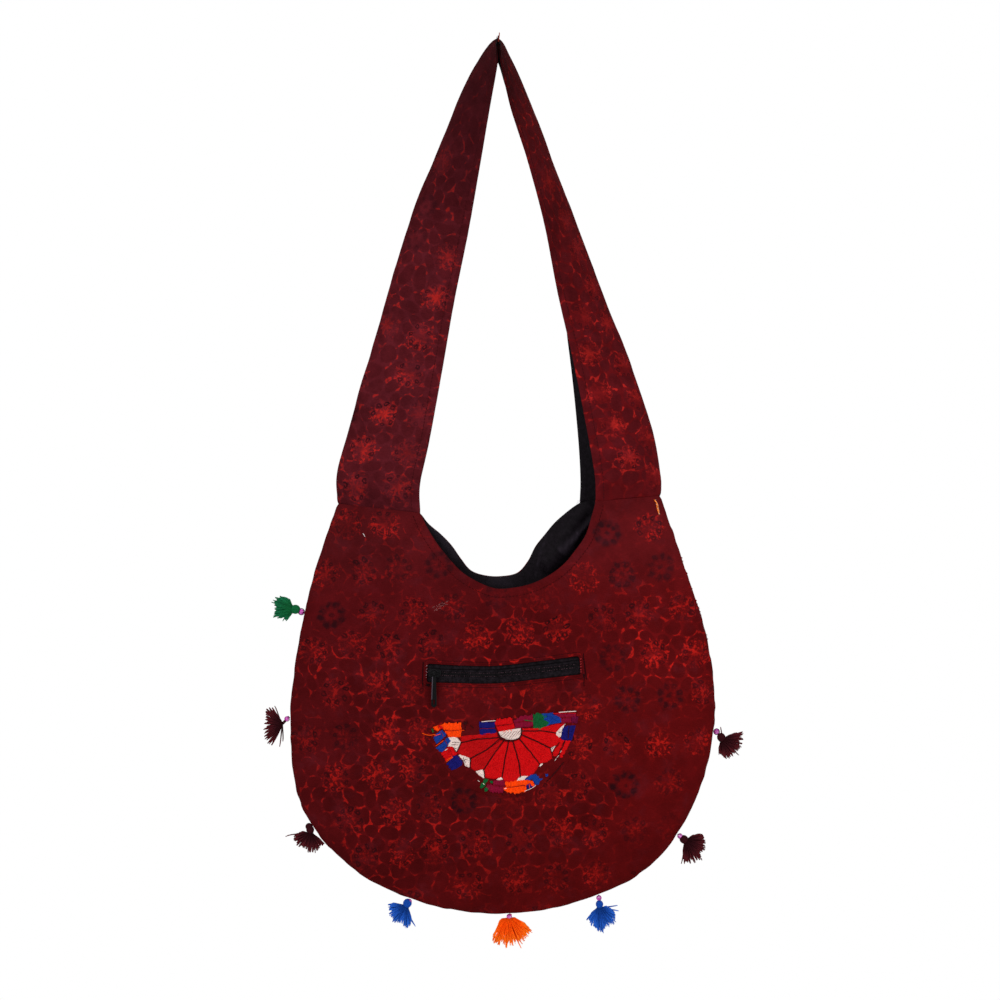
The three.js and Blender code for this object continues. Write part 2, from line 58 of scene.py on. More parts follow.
# ---------------------------------------------------------------- tables of the body and the strap
# seamX seamZ frontX frontY frontZ backX backY backZ roll bow backBow
BODY = np.array([
    [-152.7, -437.2, -74.4, -8, -446.0, -75.8, 9.6, -444.9, 12, 7, 7],
    [-176.0, -507.8, -66.7, -9, -461.7, -66.4, 10, -457.0, 14, 9, 8],
    [-191.3, -581.0, -57.5, -10, -476.4, -54.9, 11, -466.9, 17, 12, 10],
    [-197.3, -655.4, -46.5, -11.5, -490.1, -44.5, 12, -477.8, 20, 15, 13],
    [-184.8, -728.9, -34.3, -13, -502.6, -35.8, 13, -490.2, 22, 18, 15],
    [-136.2, -785.3, -19.3, -14, -511.9, -25.8, 13.5, -501.7, 23, 19.5, 16],
    [-68.6, -817.4, -2.7, -15, -518.1, -11.2, 14, -506.6, 24, 20, 16],
    [5.4, -826.9, 15.0, -16, -517.4, 3.9, 14, -507.1, 24, 20, 16],
    [79.3, -814.6, 32.1, -18, -513.4, 18.6, 14, -503.8, 24, 20, 16],
    [145.4, -780.7, 47.9, -20, -505.8, 28.7, 14, -492.7, 23, 19.5, 16],
    [187.3, -719.1, 61.9, -23, -495.3, 35.8, 13.5, -479.2, 22, 18, 15],
    [205.5, -646.3, 72.9, -27, -482.2, 45.2, 13, -467.2, 20, 15, 13],
    [200.0, -572.0, 82.5, -31, -468.1, 55.0, 12, -455.6, 17, 11, 10],
    [178.4, -500.4, 87.9, -36, -451.8, 66.5, 11, -445.8, 14, 8, 8],
    [154.3, -429.7, 92.4, -40, -435.3, 78.7, 10, -436.8, 12, 7, 7],
], float)
# foldX foldZ frontX frontY frontZ backX backY backZ roll bow
STRAP = np.array([
    [-152.7, -437.2, -74.4, -8, -446.0, -75.8, 9.6, -444.9, 12, 7],
    [-153.0, -411.2, -74.4, -9.5, -418.8, -77.0, 13, -418.0, 12, 7],
    [-142.3, -367.9, -65.9, -12, -379.3, -71.9, 20, -379.9, 12, 6],
    [-122.8, -299.7, -53.7, -21, -313.2, -60.6, 33, -314.3, 13, 5],
    [-103.5, -231.8, -42.1, -30, -247.5, -48.6, 40, -248.8, 14, 5],
    [-82.2, -164.2, -28.8, -38.5, -182.2, -35.4, 46, -183.3, 15, 4],
    [-57.8, -103.0, -18.1, -50, -121.7, -23.6, 53, -121.5, 17, 4],
    [-36.2, -50.7, -9.2, -56, -69.7, -13.1, 57.4, -68.7, 19, 3],
    [-16.5, -13.2, -2.2, -59.6, -30.5, -6.5, 60.2, -28.8, 20, 3],
    [0.0, 3.0, 0.0, -60.9, -7.0, 0.0, 61.3, -8.4, 20, 3],
    [13.2, -16.0, 4.7, -61.2, -30.4, 7.2, 61.8, -28.2, 20, 3],
    [29.6, -54.3, 13.1, -61.0, -68.5, 18.6, 62.6, -65.9, 20, 3],
    [49.8, -105.9, 29.0, -62.0, -118.5, 38.6, 64.0, -114.7, 19, 4],
    [72.9, -166.2, 44.6, -61.1, -177.6, 54.0, 64.0, -174.4, 18, 4],
    [97.3, -231.1, 57.1, -57.5, -241.8, 64.6, 60.0, -239.8, 17, 5],
    [122.9, -295.5, 71.8, -51.4, -305.7, 72.8, 49.0, -305.7, 16, 6],
    [145.0, -361.1, 84.6, -45, -370.0, 78.1, 30, -371.5, 14, 7],
    [154.2, -409.3, 91.7, -42, -411.4, 79.7, 17, -412.9, 12, 7],
    [154.3, -429.7, 92.4, -40, -435.3, 78.7, 10, -436.8, 12, 7],
], float)
# x0 z0 x1 z1 width rise
FRONT_FOLDS = [(-96, -470, -128, -600, 26, 1.6), (108, -462, 138, -590, 26, 1.8),
               (-30, -600, 30, -598, 16, -1.2), (-120, -700, -40, -760, 34, 1.4)]
BACK_FOLDS = [(84, -440, 50, -492, 9, -6)]
ZIP_LINE = np.array([[-66.9, -597.1], [-33.0, -598.6], [0.0, -598.7], [39.0, -594.4], [77.3, -589.6]])
SLIDER_AT = (-60.3, -597.1)
PATCH_RADIUS = 71
PATCH_CENTRE = (6.1, -642.9)
PATCH_TURN = math.radians(5.9)
# x z turn of each tassel's bead
BEADS = [(-186.8, -540.1, 174.5), (-200.4, -641.9, -169), (-179.5, -744.2, -108), (-84.4, -815.3, -113),
         (10.7, -829.6, -89), (95.9, -812.0, -84), (172.9, -753.2, -48), (207.6, -654.0, -42)]


# ---------------------------------------------------------------- small helpers
def lin(r, g, b):
    c = np.array([r, g, b], float) / 255.0
    c = np.where(c <= 0.04045, c / 12.92, ((c + 0.055) / 1.055) ** 2.4)
    return (float(c[0]), float(c[1]), float(c[2]), 1.0)


def unit(v):
    return v / np.maximum(np.linalg.norm(v, axis=-1, keepdims=True), 1e-12)


class Noise2:
    """Smooth value noise on the plane, -1 to 1."""

    def __init__(self, seed):
        self.t = np.random.default_rng(seed).uniform(-1, 1, (64, 64))

    def __call__(self, x, y):
        x, y = np.asarray(x, float), np.asarray(y, float)
        i, j = np.floor(x).astype(int), np.floor(y).astype(int)
        u, v = x - i, y - j
        u = u * u * u * (u * (u * 6 - 15) + 10)
        v = v * v * v * (v * (v * 6 - 15) + 10)
        g = lambda a, b: self.t[a % 64, b % 64]
        low = g(i, j) * (1 - u) + g(i + 1, j) * u
        high = g(i, j + 1) * (1 - u) + g(i + 1, j + 1) * u
        return low * (1 - v) + high * v


NOISE = [Noise2(k) for k in range(8)]


def rows_at(table, s):
    s = np.asarray(s, float)
    last = len(table) - 1
    i = np.clip(np.floor(s).astype(int), 0, last - 1)
    w = (s - i)[..., None]
    ext = np.vstack([2 * table[0] - table[1], table, 2 * table[-1] - table[-2]])
    a, b, c, d = ext[i], ext[i + 1], ext[i + 2], ext[i + 3]
    return b + 0.5 * w * (c - a + w * (2 * a - 5 * b + 4 * c - d + w * (3 * (b - c) + d - a)))


def half_rib(fold, edge, side, roll, bow, t):
    zero = np.zeros_like(roll)
    leave = fold + np.stack([zero, side * roll, zero], -1)
    middle = fold + (edge - fold) * BOW_AT + np.stack([zero, side * bow, zero], -1)
    t = t[..., None]
    r = 1 - t
    return r ** 3 * fold + 3 * r * r * t * leave + 3 * r * t * t * middle + t ** 3 * edge


def fold_rise(folds, x, z):
    rise = np.zeros_like(x)
    for x0, z0, x1, z1, width, up in folds:
        dx, dz = x1 - x0, z1 - z0
        k = np.clip(((x - x0) * dx + (z - z0) * dz) / (dx * dx + dz * dz), 0, 1)
        d = np.hypot(x - x0 - k * dx, z - z0 - k * dz) / width
        rise += up * np.exp(-d * d)
    return rise


def panel(side, s, t):
    s, t = np.broadcast_arrays(np.asarray(s, float), np.asarray(t, float))
    c = rows_at(BODY, s)
    fold = np.stack([c[..., 0], np.full(s.shape, side * SEAM_GAP), c[..., 1]], -1)
    k = 2 if side < 0 else 5
    edge = c[..., k:k + 3]
    p = half_rib(fold, edge, np.full(s.shape, float(side)), c[..., 8], c[..., 9 if side < 0 else 10], t)
    x, z = p[..., 0], p[..., 2]
    rise = np.minimum(1, t / 0.3) * fold_rise(FRONT_FOLDS if side < 0 else BACK_FOLDS, x, z)
    n = NOISE[0] if side < 0 else NOISE[1]
    soft = np.clip(t / 0.25, 0, 1) * np.clip((1 - t) / 0.12, 0, 1)
    rise += soft * (0.8 * n(x / 47, z / 47) + 0.25 * n(x / 17 + 9, z / 17 + 3))
    p[..., 1] += side * rise
    return p


def strap(s, t):
    s, t = np.broadcast_arrays(np.asarray(s, float), np.asarray(t, float))
    c = rows_at(STRAP, s)
    fold = np.stack([c[..., 0], np.zeros(s.shape), c[..., 1]], -1)
    edge = np.where((t < 0)[..., None], c[..., 2:5], c[..., 5:8])
    side = np.where(t < 0, -1.0, 1.0)
    return half_rib(fold, edge, side, c[..., 8], c[..., 9], np.abs(t))


def normals(p, toward):
    n = unit(np.cross(np.gradient(p, axis=0), np.gradient(p, axis=1)))
    m = n[n.shape[0] // 2, n.shape[1] // 2]
    return n if np.dot(m, toward) > 0 else -n


def lengths(p, axis):
    d = np.linalg.norm(np.diff(p, axis=axis), axis=-1)
    pad = [(0, 0), (0, 0)]
    pad[axis] = (1, 0)
    return np.pad(np.cumsum(d, axis=axis), pad)


# ---------------------------------------------------------------- meshes
def put_vectors(me, label, data):
    if label in me.attributes:
        me.attributes.remove(me.attributes[label])
    a = me.attributes.new(name=label, type="FLOAT_VECTOR", domain="POINT")
    a.data.foreach_set("vector", np.asarray(data, np.float32).ravel())


def make_object(name, verts, faces, material, body="bag", node=None, slot=None, uv=None, bake=None,
                colour=None, motif=None, wear_and_light=None, smooth=True):
    """verts in millimetres; uv and bake: per corner, as they come in faces; colour, motif, wear: per vertex."""
    me = bpy.data.meshes.new(name)
    faces = [f.tolist() if hasattr(f, "tolist") else list(f) for f in faces]
    me.from_pydata((np.asarray(verts) * MM).tolist(), [], faces)
    corner = np.zeros(len(me.loops), int)
    me.loops.foreach_get("vertex_index", corner)
    for label, data in (("Print", uv), ("OFBake", bake)):
        if data is None:
            continue
        layer = me.uv_layers.new(name=label)
        data = np.asarray(data, float)
        if len(data) == len(verts) and len(data) != len(corner):
            data = data[corner]
        layer.uv.foreach_set("vector", data.astype(np.float32).ravel())
    if colour is not None:
        a = me.color_attributes.new(name="Col", type="FLOAT_COLOR", domain="POINT")
        a.data.foreach_set("color", np.asarray(colour, np.float32).ravel())
    for label, data in (("Motif", motif and motif[0]), ("Kind", motif and motif[1]), ("WearAndLight", wear_and_light)):
        if data is not None:
            put_vectors(me, label, data)
    me.polygons.foreach_set("use_smooth", np.full(len(me.polygons), smooth))
    me.materials.append(material)
    me.validate()
    me.update()
    ob = bpy.data.objects.new(name, me)
    bpy.context.scene.collection.objects.link(ob)
    if body:
        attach(ob, body)
    if node:
        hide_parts(*([node] if isinstance(node, str) else node))
    return ob


def grid_solid(outer, inner, rim=3):
    """A closed sheet from its two faces, with rounded edges at both ends of the second axis.
    Returns vertices, faces, and for each vertex its row, its column and whether it is on the outer face."""
    ns, nt = outer.shape[:2]

    def rim_rows(o, i, e):
        mid, half = (o + i) / 2, (o - i) / 2
        r = np.linalg.norm(half, axis=1, keepdims=True)
        return [mid + half * math.cos(a) + e * r * math.sin(a)
                for a in (math.pi * k / (rim + 1) for k in range(1, rim + 1))]

    e1, e0 = unit(outer[:, -1] - outer[:, -2]), unit(outer[:, 0] - outer[:, 1])
    loop = [outer[:, j] for j in range(nt)] + rim_rows(outer[:, -1], inner[:, -1], e1)
    loop += [inner[:, j] for j in range(nt - 1, -1, -1)] + rim_rows(inner[:, 0], outer[:, 0], e0)
    column = list(range(nt)) + [nt - 1] * rim + list(range(nt - 1, -1, -1)) + [0] * rim
    v = np.stack(loop, axis=1)
    m = v.shape[1]
    idx = np.arange(ns * m).reshape(ns, m)
    a, b = idx[:-1], idx[1:]
    quads = np.stack([a, b, np.roll(b, -1, 1), np.roll(a, -1, 1)], -1).reshape(-1, 4)
    back = lambda j: nt + rim + (nt - 1 - j)
    faces = list(quads)
    for row, turn in ((0, False), (ns - 1, True)):
        cap = [[idx[row, j], idx[row, j + 1], idx[row, back(j + 1)], idx[row, back(j)]] for j in range(nt - 1)]
        cap.append([idx[row, k] for k in range(nt - 1, nt + rim + 1)])
        cap.append([idx[row, k] for k in range(back(0), m)] + [idx[row, 0]])
        faces += [f[::-1] for f in cap] if turn else cap
    q = quads[(ns // 2) * m + nt // 2]
    p = v.reshape(-1, 3)
    n = np.cross(p[q[1]] - p[q[0]], p[q[3]] - p[q[0]])
    if np.dot(n, outer[ns // 2, nt // 2] - inner[ns // 2, nt // 2]) < 0:
        faces = [list(f)[::-1] for f in faces]
    row_of = np.repeat(np.arange(ns), m)
    col_of = np.tile(np.array(column), ns)
    is_outer = np.tile(np.arange(m) < nt, ns)
    return p, faces, row_of, col_of, is_outer


def bake_map(faces, u, v, is_outer, halves=None):
    """Corner coordinates: the outer face over most of the square, the hidden faces in a strip beside it."""
    out = []
    for f in faces:
        f = np.asarray(f)
        uu, vv = u[f], v[f]
        if halves is not None:
            second = halves[f].min() >= 0.5 - 1e-9
            uu = (halves[f] - 0.5 * second) * 2
            vv = vv * 0.49 + 0.51 * second
        if is_outer[f].all():
            out.append(np.stack([uu * 0.98, vv], -1))
        else:
            out.append(np.stack([0.985 + uu * 0.014, vv], -1))
    return np.concatenate(out)


def tubes(points, normal, width, height, sides=5):
    """Closed tubes along points (N, n, 3), their section an ellipse: height along normal, width across it."""
    points = np.asarray(points, float)
    big, n = points.shape[:2]
    tan = unit(np.gradient(points, axis=1))
    nrm = np.broadcast_to(np.asarray(normal, float), points.shape)
    side = unit(np.cross(tan, nrm))
    nrm = np.cross(side, tan)
    width = np.broadcast_to(np.asarray(width, float), (big, n))
    height = np.broadcast_to(np.asarray(height, float), (big, n))
    ang = 2 * math.pi * (np.arange(sides) + 0.5) / sides
    ring = (points[:, :, None] + (width[..., None] * np.cos(ang))[..., None] * side[:, :, None]
            + (height[..., None] * np.sin(ang))[..., None] * nrm[:, :, None])
    idx = np.arange(big * n * sides).reshape(big, n, sides)
    a, b = idx[:, :-1], idx[:, 1:]
    quads = np.stack([a, b, np.roll(b, -1, 2), np.roll(a, -1, 2)], -1).reshape(-1, 4)
    faces = list(quads) + list(idx[:, 0].reshape(-1, sides)) + list(idx[:, -1, ::-1].reshape(-1, sides))
    return ring.reshape(-1, 3), faces


class Heap:
    """Gathers closed pieces into one mesh, each with its own colour."""

    def __init__(self):
        self.v, self.f, self.c, self.part, self.at, self.n, self.parts = [], [], [], [], [], 0, 0

    def add(self, verts, faces, colour, each=None, at=None):
        verts = np.asarray(verts)
        self.v.append(verts)
        self.f += [np.asarray(f) + self.n for f in faces]
        colour = np.asarray(colour, float)
        if colour.ndim == 1:
            colour = np.broadcast_to(colour, (len(verts), 4))
        self.c.append(colour)
        k = np.arange(len(verts))
        self.at.append(np.stack([np.cos(k * 2.4), np.sin(k * 2.4)], -1) * 0.22 if at is None else at)
        each = len(verts) if each is None else each
        self.part.append(self.parts + k // each)
        self.parts += int(math.ceil(len(verts) / each))
        self.n += len(verts)

    def tubes(self, points, normal, width, height, colour, sides=5):
        """colour: one for all, one for each thread, or one for each point of each thread."""
        points = np.asarray(points, float)
        v, f = tubes(points, normal, width, height, sides)
        big, n = points.shape[:2]
        colour = np.asarray(colour, float)
        if colour.ndim == 2:
            colour = np.repeat(colour, n * sides, axis=0)
        elif colour.ndim == 3:
            colour = np.repeat(colour.reshape(-1, 4), sides, axis=0)
        across, along = np.meshgrid(np.linspace(-0.25, 0.25, sides), np.linspace(-0.33, 0.33, n))
        self.add(v, f, colour, n * sides, np.tile(np.stack([across, along], -1).reshape(-1, 2), (big, 1)))

    def build(self, name, material, **kw):
        v, part = np.concatenate(self.v), np.concatenate(self.part)
        side = int(math.ceil(math.sqrt(self.parts)))
        # every thread has a cell of its own, so its colour stays its own
        at = (np.stack([part % side, part // side], -1) + 0.5 + np.concatenate(self.at)) / side
        corner = np.concatenate([np.asarray(f) for f in self.f])
        return make_object(name, v, self.f, material, colour=np.concatenate(self.c), bake=at[corner], **kw)


# ---------------------------------------------------------------- node materials
class Mat:
    def __init__(self, name):
        self.mat = bpy.data.materials.new(name)
        self.mat.use_nodes = True
        self.t = self.mat.node_tree
        self.t.nodes.clear()
        self.out = self.t.nodes.new("ShaderNodeOutputMaterial")
        self.bsdf = self.t.nodes.new("ShaderNodeBsdfPrincipled")
        self.t.links.new(self.bsdf.outputs[0], self.out.inputs[0])

    def put(self, sock, v):
        if isinstance(v, bpy.types.NodeSocket):
            self.t.links.new(v, sock)
        else:
            sock.default_value = v

    def set(self, **kw):
        for k, v in kw.items():
            self.put(self.bsdf.inputs[k.replace("_", " ")], v)
        return self

    def math(self, op, a, b=0.0, c=0.0, clamp=False):
        n = self.t.nodes.new("ShaderNodeMath")
        n.operation = op
        n.use_clamp = clamp
        for s, v in zip(n.inputs, (a, b, c)):
            self.put(s, v)
        return n.outputs[0]

    def add(self, a, b): return self.math("ADD", a, b)
    def sub(self, a, b): return self.math("SUBTRACT", a, b)
    def mul(self, a, b): return self.math("MULTIPLY", a, b)
    def top(self, a, b): return self.math("MAXIMUM", a, b)

    def vec(self, op, a, b=(0, 0, 0), c=(0, 0, 0), scale=None):
        n = self.t.nodes.new("ShaderNodeVectorMath")
        n.operation = op
        self.put(n.inputs[0], a)
        self.put(n.inputs[1], b)
        self.put(n.inputs[2], c)
        if scale is not None:
            self.put(n.inputs[3], scale)
        return n.outputs[1] if op in ("LENGTH", "DISTANCE", "DOT_PRODUCT") else n.outputs[0]

    def ramp(self, x, lo, hi, to0=0.0, to1=1.0):
        """to0 at x = lo, to1 at x = hi, smoothly."""
        n = self.t.nodes.new("ShaderNodeMapRange")
        n.interpolation_type = "SMOOTHSTEP"
        self.put(n.inputs[0], x)
        self.put(n.inputs[1], lo)
        self.put(n.inputs[2], hi)
        self.put(n.inputs[3], to0)
        self.put(n.inputs[4], to1)
        return n.outputs[0]

    def split(self, v):
        n = self.t.nodes.new("ShaderNodeSeparateXYZ")
        self.put(n.inputs[0], v)
        return n.outputs

    def join(self, x, y=0.0, z=0.0):
        n = self.t.nodes.new("ShaderNodeCombineXYZ")
        for s, v in zip(n.inputs, (x, y, z)):
            self.put(s, v)
        return n.outputs[0]

    def mix(self, f, a, b):
        n = self.t.nodes.new("ShaderNodeMix")
        n.data_type = "RGBA"
        self.put(n.inputs[0], f)
        self.put(n.inputs[6], a)
        self.put(n.inputs[7], b)
        return n.outputs[2]

    def choose(self, f, a, b):
        n = self.t.nodes.new("ShaderNodeMix")
        n.data_type = "VECTOR"
        self.put(n.inputs[0], f)
        self.put(n.inputs[4], a)
        self.put(n.inputs[5], b)
        return n.outputs[1]

    def shade(self, colour, k):
        """colour times the number k."""
        return self.vec("SCALE", colour, scale=k)

    def noise(self, v, scale, detail=2.0, rough=0.5, colour=False):
        n = self.t.nodes.new("ShaderNodeTexNoise")
        self.put(n.inputs["Vector"], v)
        self.put(n.inputs["Scale"], scale)
        self.put(n.inputs["Detail"], detail)
        self.put(n.inputs["Roughness"], rough)
        return n.outputs[1 if colour else 0]

    def white(self, v):
        n = self.t.nodes.new("ShaderNodeTexWhiteNoise")
        n.noise_dimensions = "3D"
        self.put(n.inputs["Vector"], v)
        return n.outputs[0], n.outputs[1]

    def uv(self, name):
        n = self.t.nodes.new("ShaderNodeUVMap")
        n.uv_map = name
        return n.outputs[0]

    def attribute(self, name):
        n = self.t.nodes.new("ShaderNodeAttribute")
        n.attribute_name = name
        return n

    def position(self):
        return self.t.nodes.new("ShaderNodeTexCoord").outputs["Object"]

    def bump(self, height, strength, distance):
        n = self.t.nodes.new("ShaderNodeBump")
        n.inputs["Strength"].default_value = strength
        n.inputs["Distance"].default_value = distance
        self.put(n.inputs["Height"], height)
        self.put(self.bsdf.inputs["Normal"], n.outputs[0])
        return self

    def weave(self, uv, pitch):
        """A plain weave's height, from coordinates in metres."""
        x, y, _ = self.split(self.vec("SCALE", uv, scale=math.pi / pitch))
        a = self.math("ABSOLUTE", self.math("SINE", x))
        b = self.math("ABSOLUTE", self.math("SINE", y))
        over = self.math("GREATER_THAN", self.mul(self.math("SINE", self.mul(x, 1.0)), self.math("SINE", y)), 0.0)
        return self.add(self.mul(over, a), self.mul(self.sub(1.0, over), b))


def printed_cotton(name, cool, warm, red, disc, ring, rosette, gloss=0.03, solid=0.12, reach=17.0, sparse=0.0, top_paleness=0.0):
    """Block print: flowers with small circles round them, and between the flowers a net of scales in broken lines.
    The mesh gives the way to the nearest flower ("Motif"), how bright, ringed and dark it is ("Kind"),
    and the ink of the net, the tone with its painted shade, and the warmth ("Wear")."""
    m = Mat(name)
    uv = m.uv("Print")
    p = m.vec("SCALE", uv, scale=1000.0 / PX)
    ink, tone, warmth = m.split(m.attribute("WearAndLight").outputs["Vector"])
    bright, ringed, dark = m.split(m.attribute("Kind").outputs["Vector"])
    mx, my, turn = m.split(m.attribute("Motif").outputs["Vector"])
    bend = m.vec("SUBTRACT", m.noise(p, 0.022, 1.0, 0.5, colour=True), (0.5, 0.5, 0.5))
    fine = m.vec("SUBTRACT", m.noise(p, 0.13, 2.0, 0.6, colour=True), (0.5, 0.5, 0.5))
    wx, wy, _ = m.split(m.vec("MULTIPLY", fine, (8.0, 8.0, 0)))

    # patchy ink, and where a line is broken
    patch = m.ramp(m.noise(p, 0.03, 2.0, 0.6), 0.36, 0.6, 0.5, 1.15)
    grit = m.noise(p, 0.30, 2.0, 0.6)
    broken = m.ramp(grit, 0.44, 0.55)
    dash = m.ramp(m.noise(m.vec("ADD", p, (31.0, 77.0, 0.0)), 0.12, 1.0, 0.5), 0.48 + sparse, 0.56 + sparse)
    uneven = m.ramp(m.noise(m.vec("ADD", p, (13.0, 5.0, 0.0)), 0.055, 1.0, 0.5), 0.36, 0.58, 0.16, 1.0)
    blot = m.noise(p, 0.2, 1.0, 0.5)

    # flower: a ragged star, eight small rings round it, arms between the rings
    x, y = m.add(mx, wx), m.add(my, wy)
    r = m.vec("LENGTH", m.join(x, y, 0.0))
    theta = m.add(m.math("ARCTAN2", y, x), turn)
    k = m.mul(theta, 8 / (2 * math.pi))
    f = m.math("WRAP", k, 0.5, -0.5)
    place = m.math("WRAP", m.math("FLOOR", m.add(k, 0.5)), 8.0, 0.0)
    own, _ = m.white(m.join(m.add(place, 0.5), m.add(m.math("FLOOR", m.mul(turn, 50.0)), 0.5), 7.5))
    d = m.vec("LENGTH", m.join(m.sub(m.sub(r, 9.8), m.mul(own, 1.6)), m.mul(f, 8.3), 0.0))
    rings = m.ramp(m.math("ABSOLUTE", m.sub(d, 1.65)), 1.15, 0.35)
    rings = m.mul(m.mul(rings, ringed), m.mul(m.ramp(own, 0.1, 0.45, 0.1, 1.0), m.ramp(grit, 0.32, 0.46, 0.5, 1.0)))
    # the dark block sits a little high, so the flower is darker above and brighter below
    rings = m.mul(rings, m.ramp(y, -9.0, 5.0, 0.75, 1.0))
    wave = m.math("COSINE", m.mul(theta, 8.0))
    star = m.ramp(r, m.sub(6.0 + 1.6 * solid, m.mul(wave, 2.2)), m.sub(2.4 + 2.0 * solid, m.mul(wave, 1.2)))
    star = m.mul(star, m.ramp(blot, 0.42, 0.56, solid, 1.0))
    g = m.math("ABSOLUTE", m.math("WRAP", m.add(k, 0.5), 0.5, -0.5))
    across = m.mul(m.mul(g, r), 2 * math.pi / 8)
    arms = m.mul(m.ramp(across, 1.8, 0.6), m.mul(m.ramp(r, 4.5, 6.5), m.ramp(r, reach, reach - 4.0)))
    halo = m.mul(m.ramp(m.math("ABSOLUTE", m.sub(d, 3.2)), 1.0, 0.3), 0.5)
    flecks = m.mul(m.ramp(m.noise(p, 0.25, 1.0, 0.5), 0.61, 0.67), m.ramp(r, 18.0, 11.0))
    pips = m.mul(m.ramp(d, 1.0, 0.3), 0.45)
    flower = m.top(m.top(star, m.mul(m.top(arms, halo), broken)), m.top(flecks, pips))
    haze = m.mul(m.mul(m.ramp(r, 17.0, 7.0), m.ramp(m.noise(p, 0.17, 3.0, 0.6), 0.44, 0.6)), 0.6 * solid)
    flower = m.top(flower, haze)
    flower = m.mul(m.mul(flower, m.mul(bright, uneven)), m.ramp(y, 12.0, -2.0, 0.72, 1.0))
    petals = m.top(m.ramp(d, 5.6, 1.8), m.mul(m.ramp(r, 3.4, 1.4), 0.8))
    petals = m.top(petals, m.mul(m.ramp(m.math("ABSOLUTE", m.sub(r, 10.2)), 5.0, 1.5), 0.6))
    petals = m.mul(m.mul(petals, dark), m.ramp(m.noise(p, 0.13, 2.0, 0.5), 0.3, 0.58, 0.4, 1.0))

    # net: scales in staggered rows, their outlines broken into dashes
    pitch = 16.4
    q = m.vec("ADD", p, m.vec("MULTIPLY", bend, (34, 34, 0)))
    q = m.vec("ADD", q, m.vec("MULTIPLY", fine, (4.0, 4.0, 0)))
    tall = pitch * math.sqrt(3)
    half = (pitch / 2, tall / 2, 1.0)
    less = (-pitch / 2, -tall / 2, -1.0)
    one = m.vec("LENGTH", m.vec("WRAP", q, half, less))
    two = m.vec("LENGTH", m.vec("WRAP", m.vec("SUBTRACT", q, (pitch / 2, tall / 2, 0)), half, less))
    dist = m.math("MINIMUM", one, two)
    outside = m.ramp(r, 11.5, 14.5)
    net = m.mul(m.ramp(dist, 7.3, 8.0), m.mul(dash, m.ramp(grit, 0.36, 0.5, 0.4, 1.0)))
    net = m.mul(net, m.ramp(dist, 9.4, 8.7, 0.45, 1.0))
    net = m.mul(m.mul(net, outside), m.mul(ink, patch))
    scales = m.mul(m.mul(m.ramp(dist, 7.6, 6.2), m.ramp(r, 12.0, 16.0)), m.ramp(ink, 0.15, 0.7, 0.1, 0.6))
    red_mask = m.math("MAXIMUM", flower, net, clamp=True)

    ground = m.mix(warmth, cool, warm)
    col = m.mix(scales, ground, disc)
    col = m.mix(red_mask, col, red)
    col = m.mix(rings, col, ring)
    col = m.mix(petals, col, rosette)
    # dusty patches
    dust = m.ramp(m.noise(m.vec("ADD", p, (57.0, 19.0, 0.0)), 0.034, 4.0, 0.7), 0.5, 0.7, 0.0, 0.18)
    col = m.mix(dust, col, lin(88, 31, 41))
    if top_paleness:
        # the horns, at the top of the body, are paler than the rest of it
        _, _, height = m.split(m.position())
        col = m.mix(m.ramp(height, -0.54, -0.47, 0.0, top_paleness), col, lin(90, 50, 56))
    cloud = m.ramp(m.noise(p, 0.017, 3.0, 0.6), 0.3, 0.7, 0.84, 1.12)
    slub = m.ramp(m.noise(m.vec("MULTIPLY", p, (0.25, 1.6, 1.0)), 0.9, 2.0, 0.6), 0.25, 0.75, 0.9, 1.1)
    mottle = m.ramp(m.noise(m.vec("ADD", p, (7.0, 41.0, 0.0)), 0.055, 3.0, 0.65), 0.36, 0.64, 0.92 - 0.12 * solid, 1.06 + 0.06 * solid)
    # the tone also carries painted shade
    col = m.shade(m.shade(m.shade(m.shade(col, cloud), mottle), slub), tone)
    m.set(Base_Color=col, Roughness=0.9, Specular_IOR_Level=gloss)
    rough = m.add(m.mul(m.weave(uv, 0.00062), 0.6), m.mul(m.noise(p, 1.1, 2.0, 0.6), 0.7))
    m.bump(rough, 0.32, 0.00025)
    return m.mat


def plain_cloth(name, dark, light, pitch, gloss, bump=0.35, coords="uv", rough=0.85, painted_highlight=None):
    m = Mat(name)
    at = m.uv("Print") if coords == "uv" else m.position()
    mottle = m.noise(at, 260.0, 3.0, 0.6)
    thread = m.noise(m.vec("MULTIPLY", at, (1.0, 6.0, 1.0)), 900.0, 2.0, 0.6)
    col = m.mix(m.ramp(m.add(m.mul(mottle, 0.6), m.mul(thread, 0.4)), 0.36, 0.66), dark, light)
    # painted highlight mixed in along the lining's folds
    if painted_highlight:
        wear_and_highlight, _, _ = m.split(m.attribute("WearAndLight").outputs["Vector"])
        col = m.mix(m.mul(wear_and_highlight, m.ramp(thread, 0.3, 0.6, 0.7, 1.0)), col, painted_highlight)
    m.set(Base_Color=col, Roughness=rough, Specular_IOR_Level=gloss)
    m.bump(m.add(m.weave(at, pitch), m.mul(thread, 0.5)), bump, 0.0003)
    return m.mat


def thread(name, rough=0.55, gloss=0.1, spread=0.16, twist=0.0011):
    """Spun thread: the colour of each thread, with its own mottling and twist."""
    m = Mat(name)
    at = m.position()
    col = m.attribute("Col").outputs["Color"]
    fleck = m.ramp(m.noise(at, 900.0, 2.0, 0.6), 0.25, 0.75, 1.0 - spread, 1.0 + spread)
    m.set(Base_Color=m.shade(col, fleck), Roughness=rough, Specular_IOR_Level=gloss)
    w = m.t.nodes.new("ShaderNodeTexWave")
    w.bands_direction = "DIAGONAL"
    m.put(w.inputs["Vector"], at)
    w.inputs["Scale"].default_value = 0.5 / twist
    w.inputs["Distortion"].default_value = 2.0
    m.bump(w.outputs[1], 0.35, 0.0002)
    return m.mat


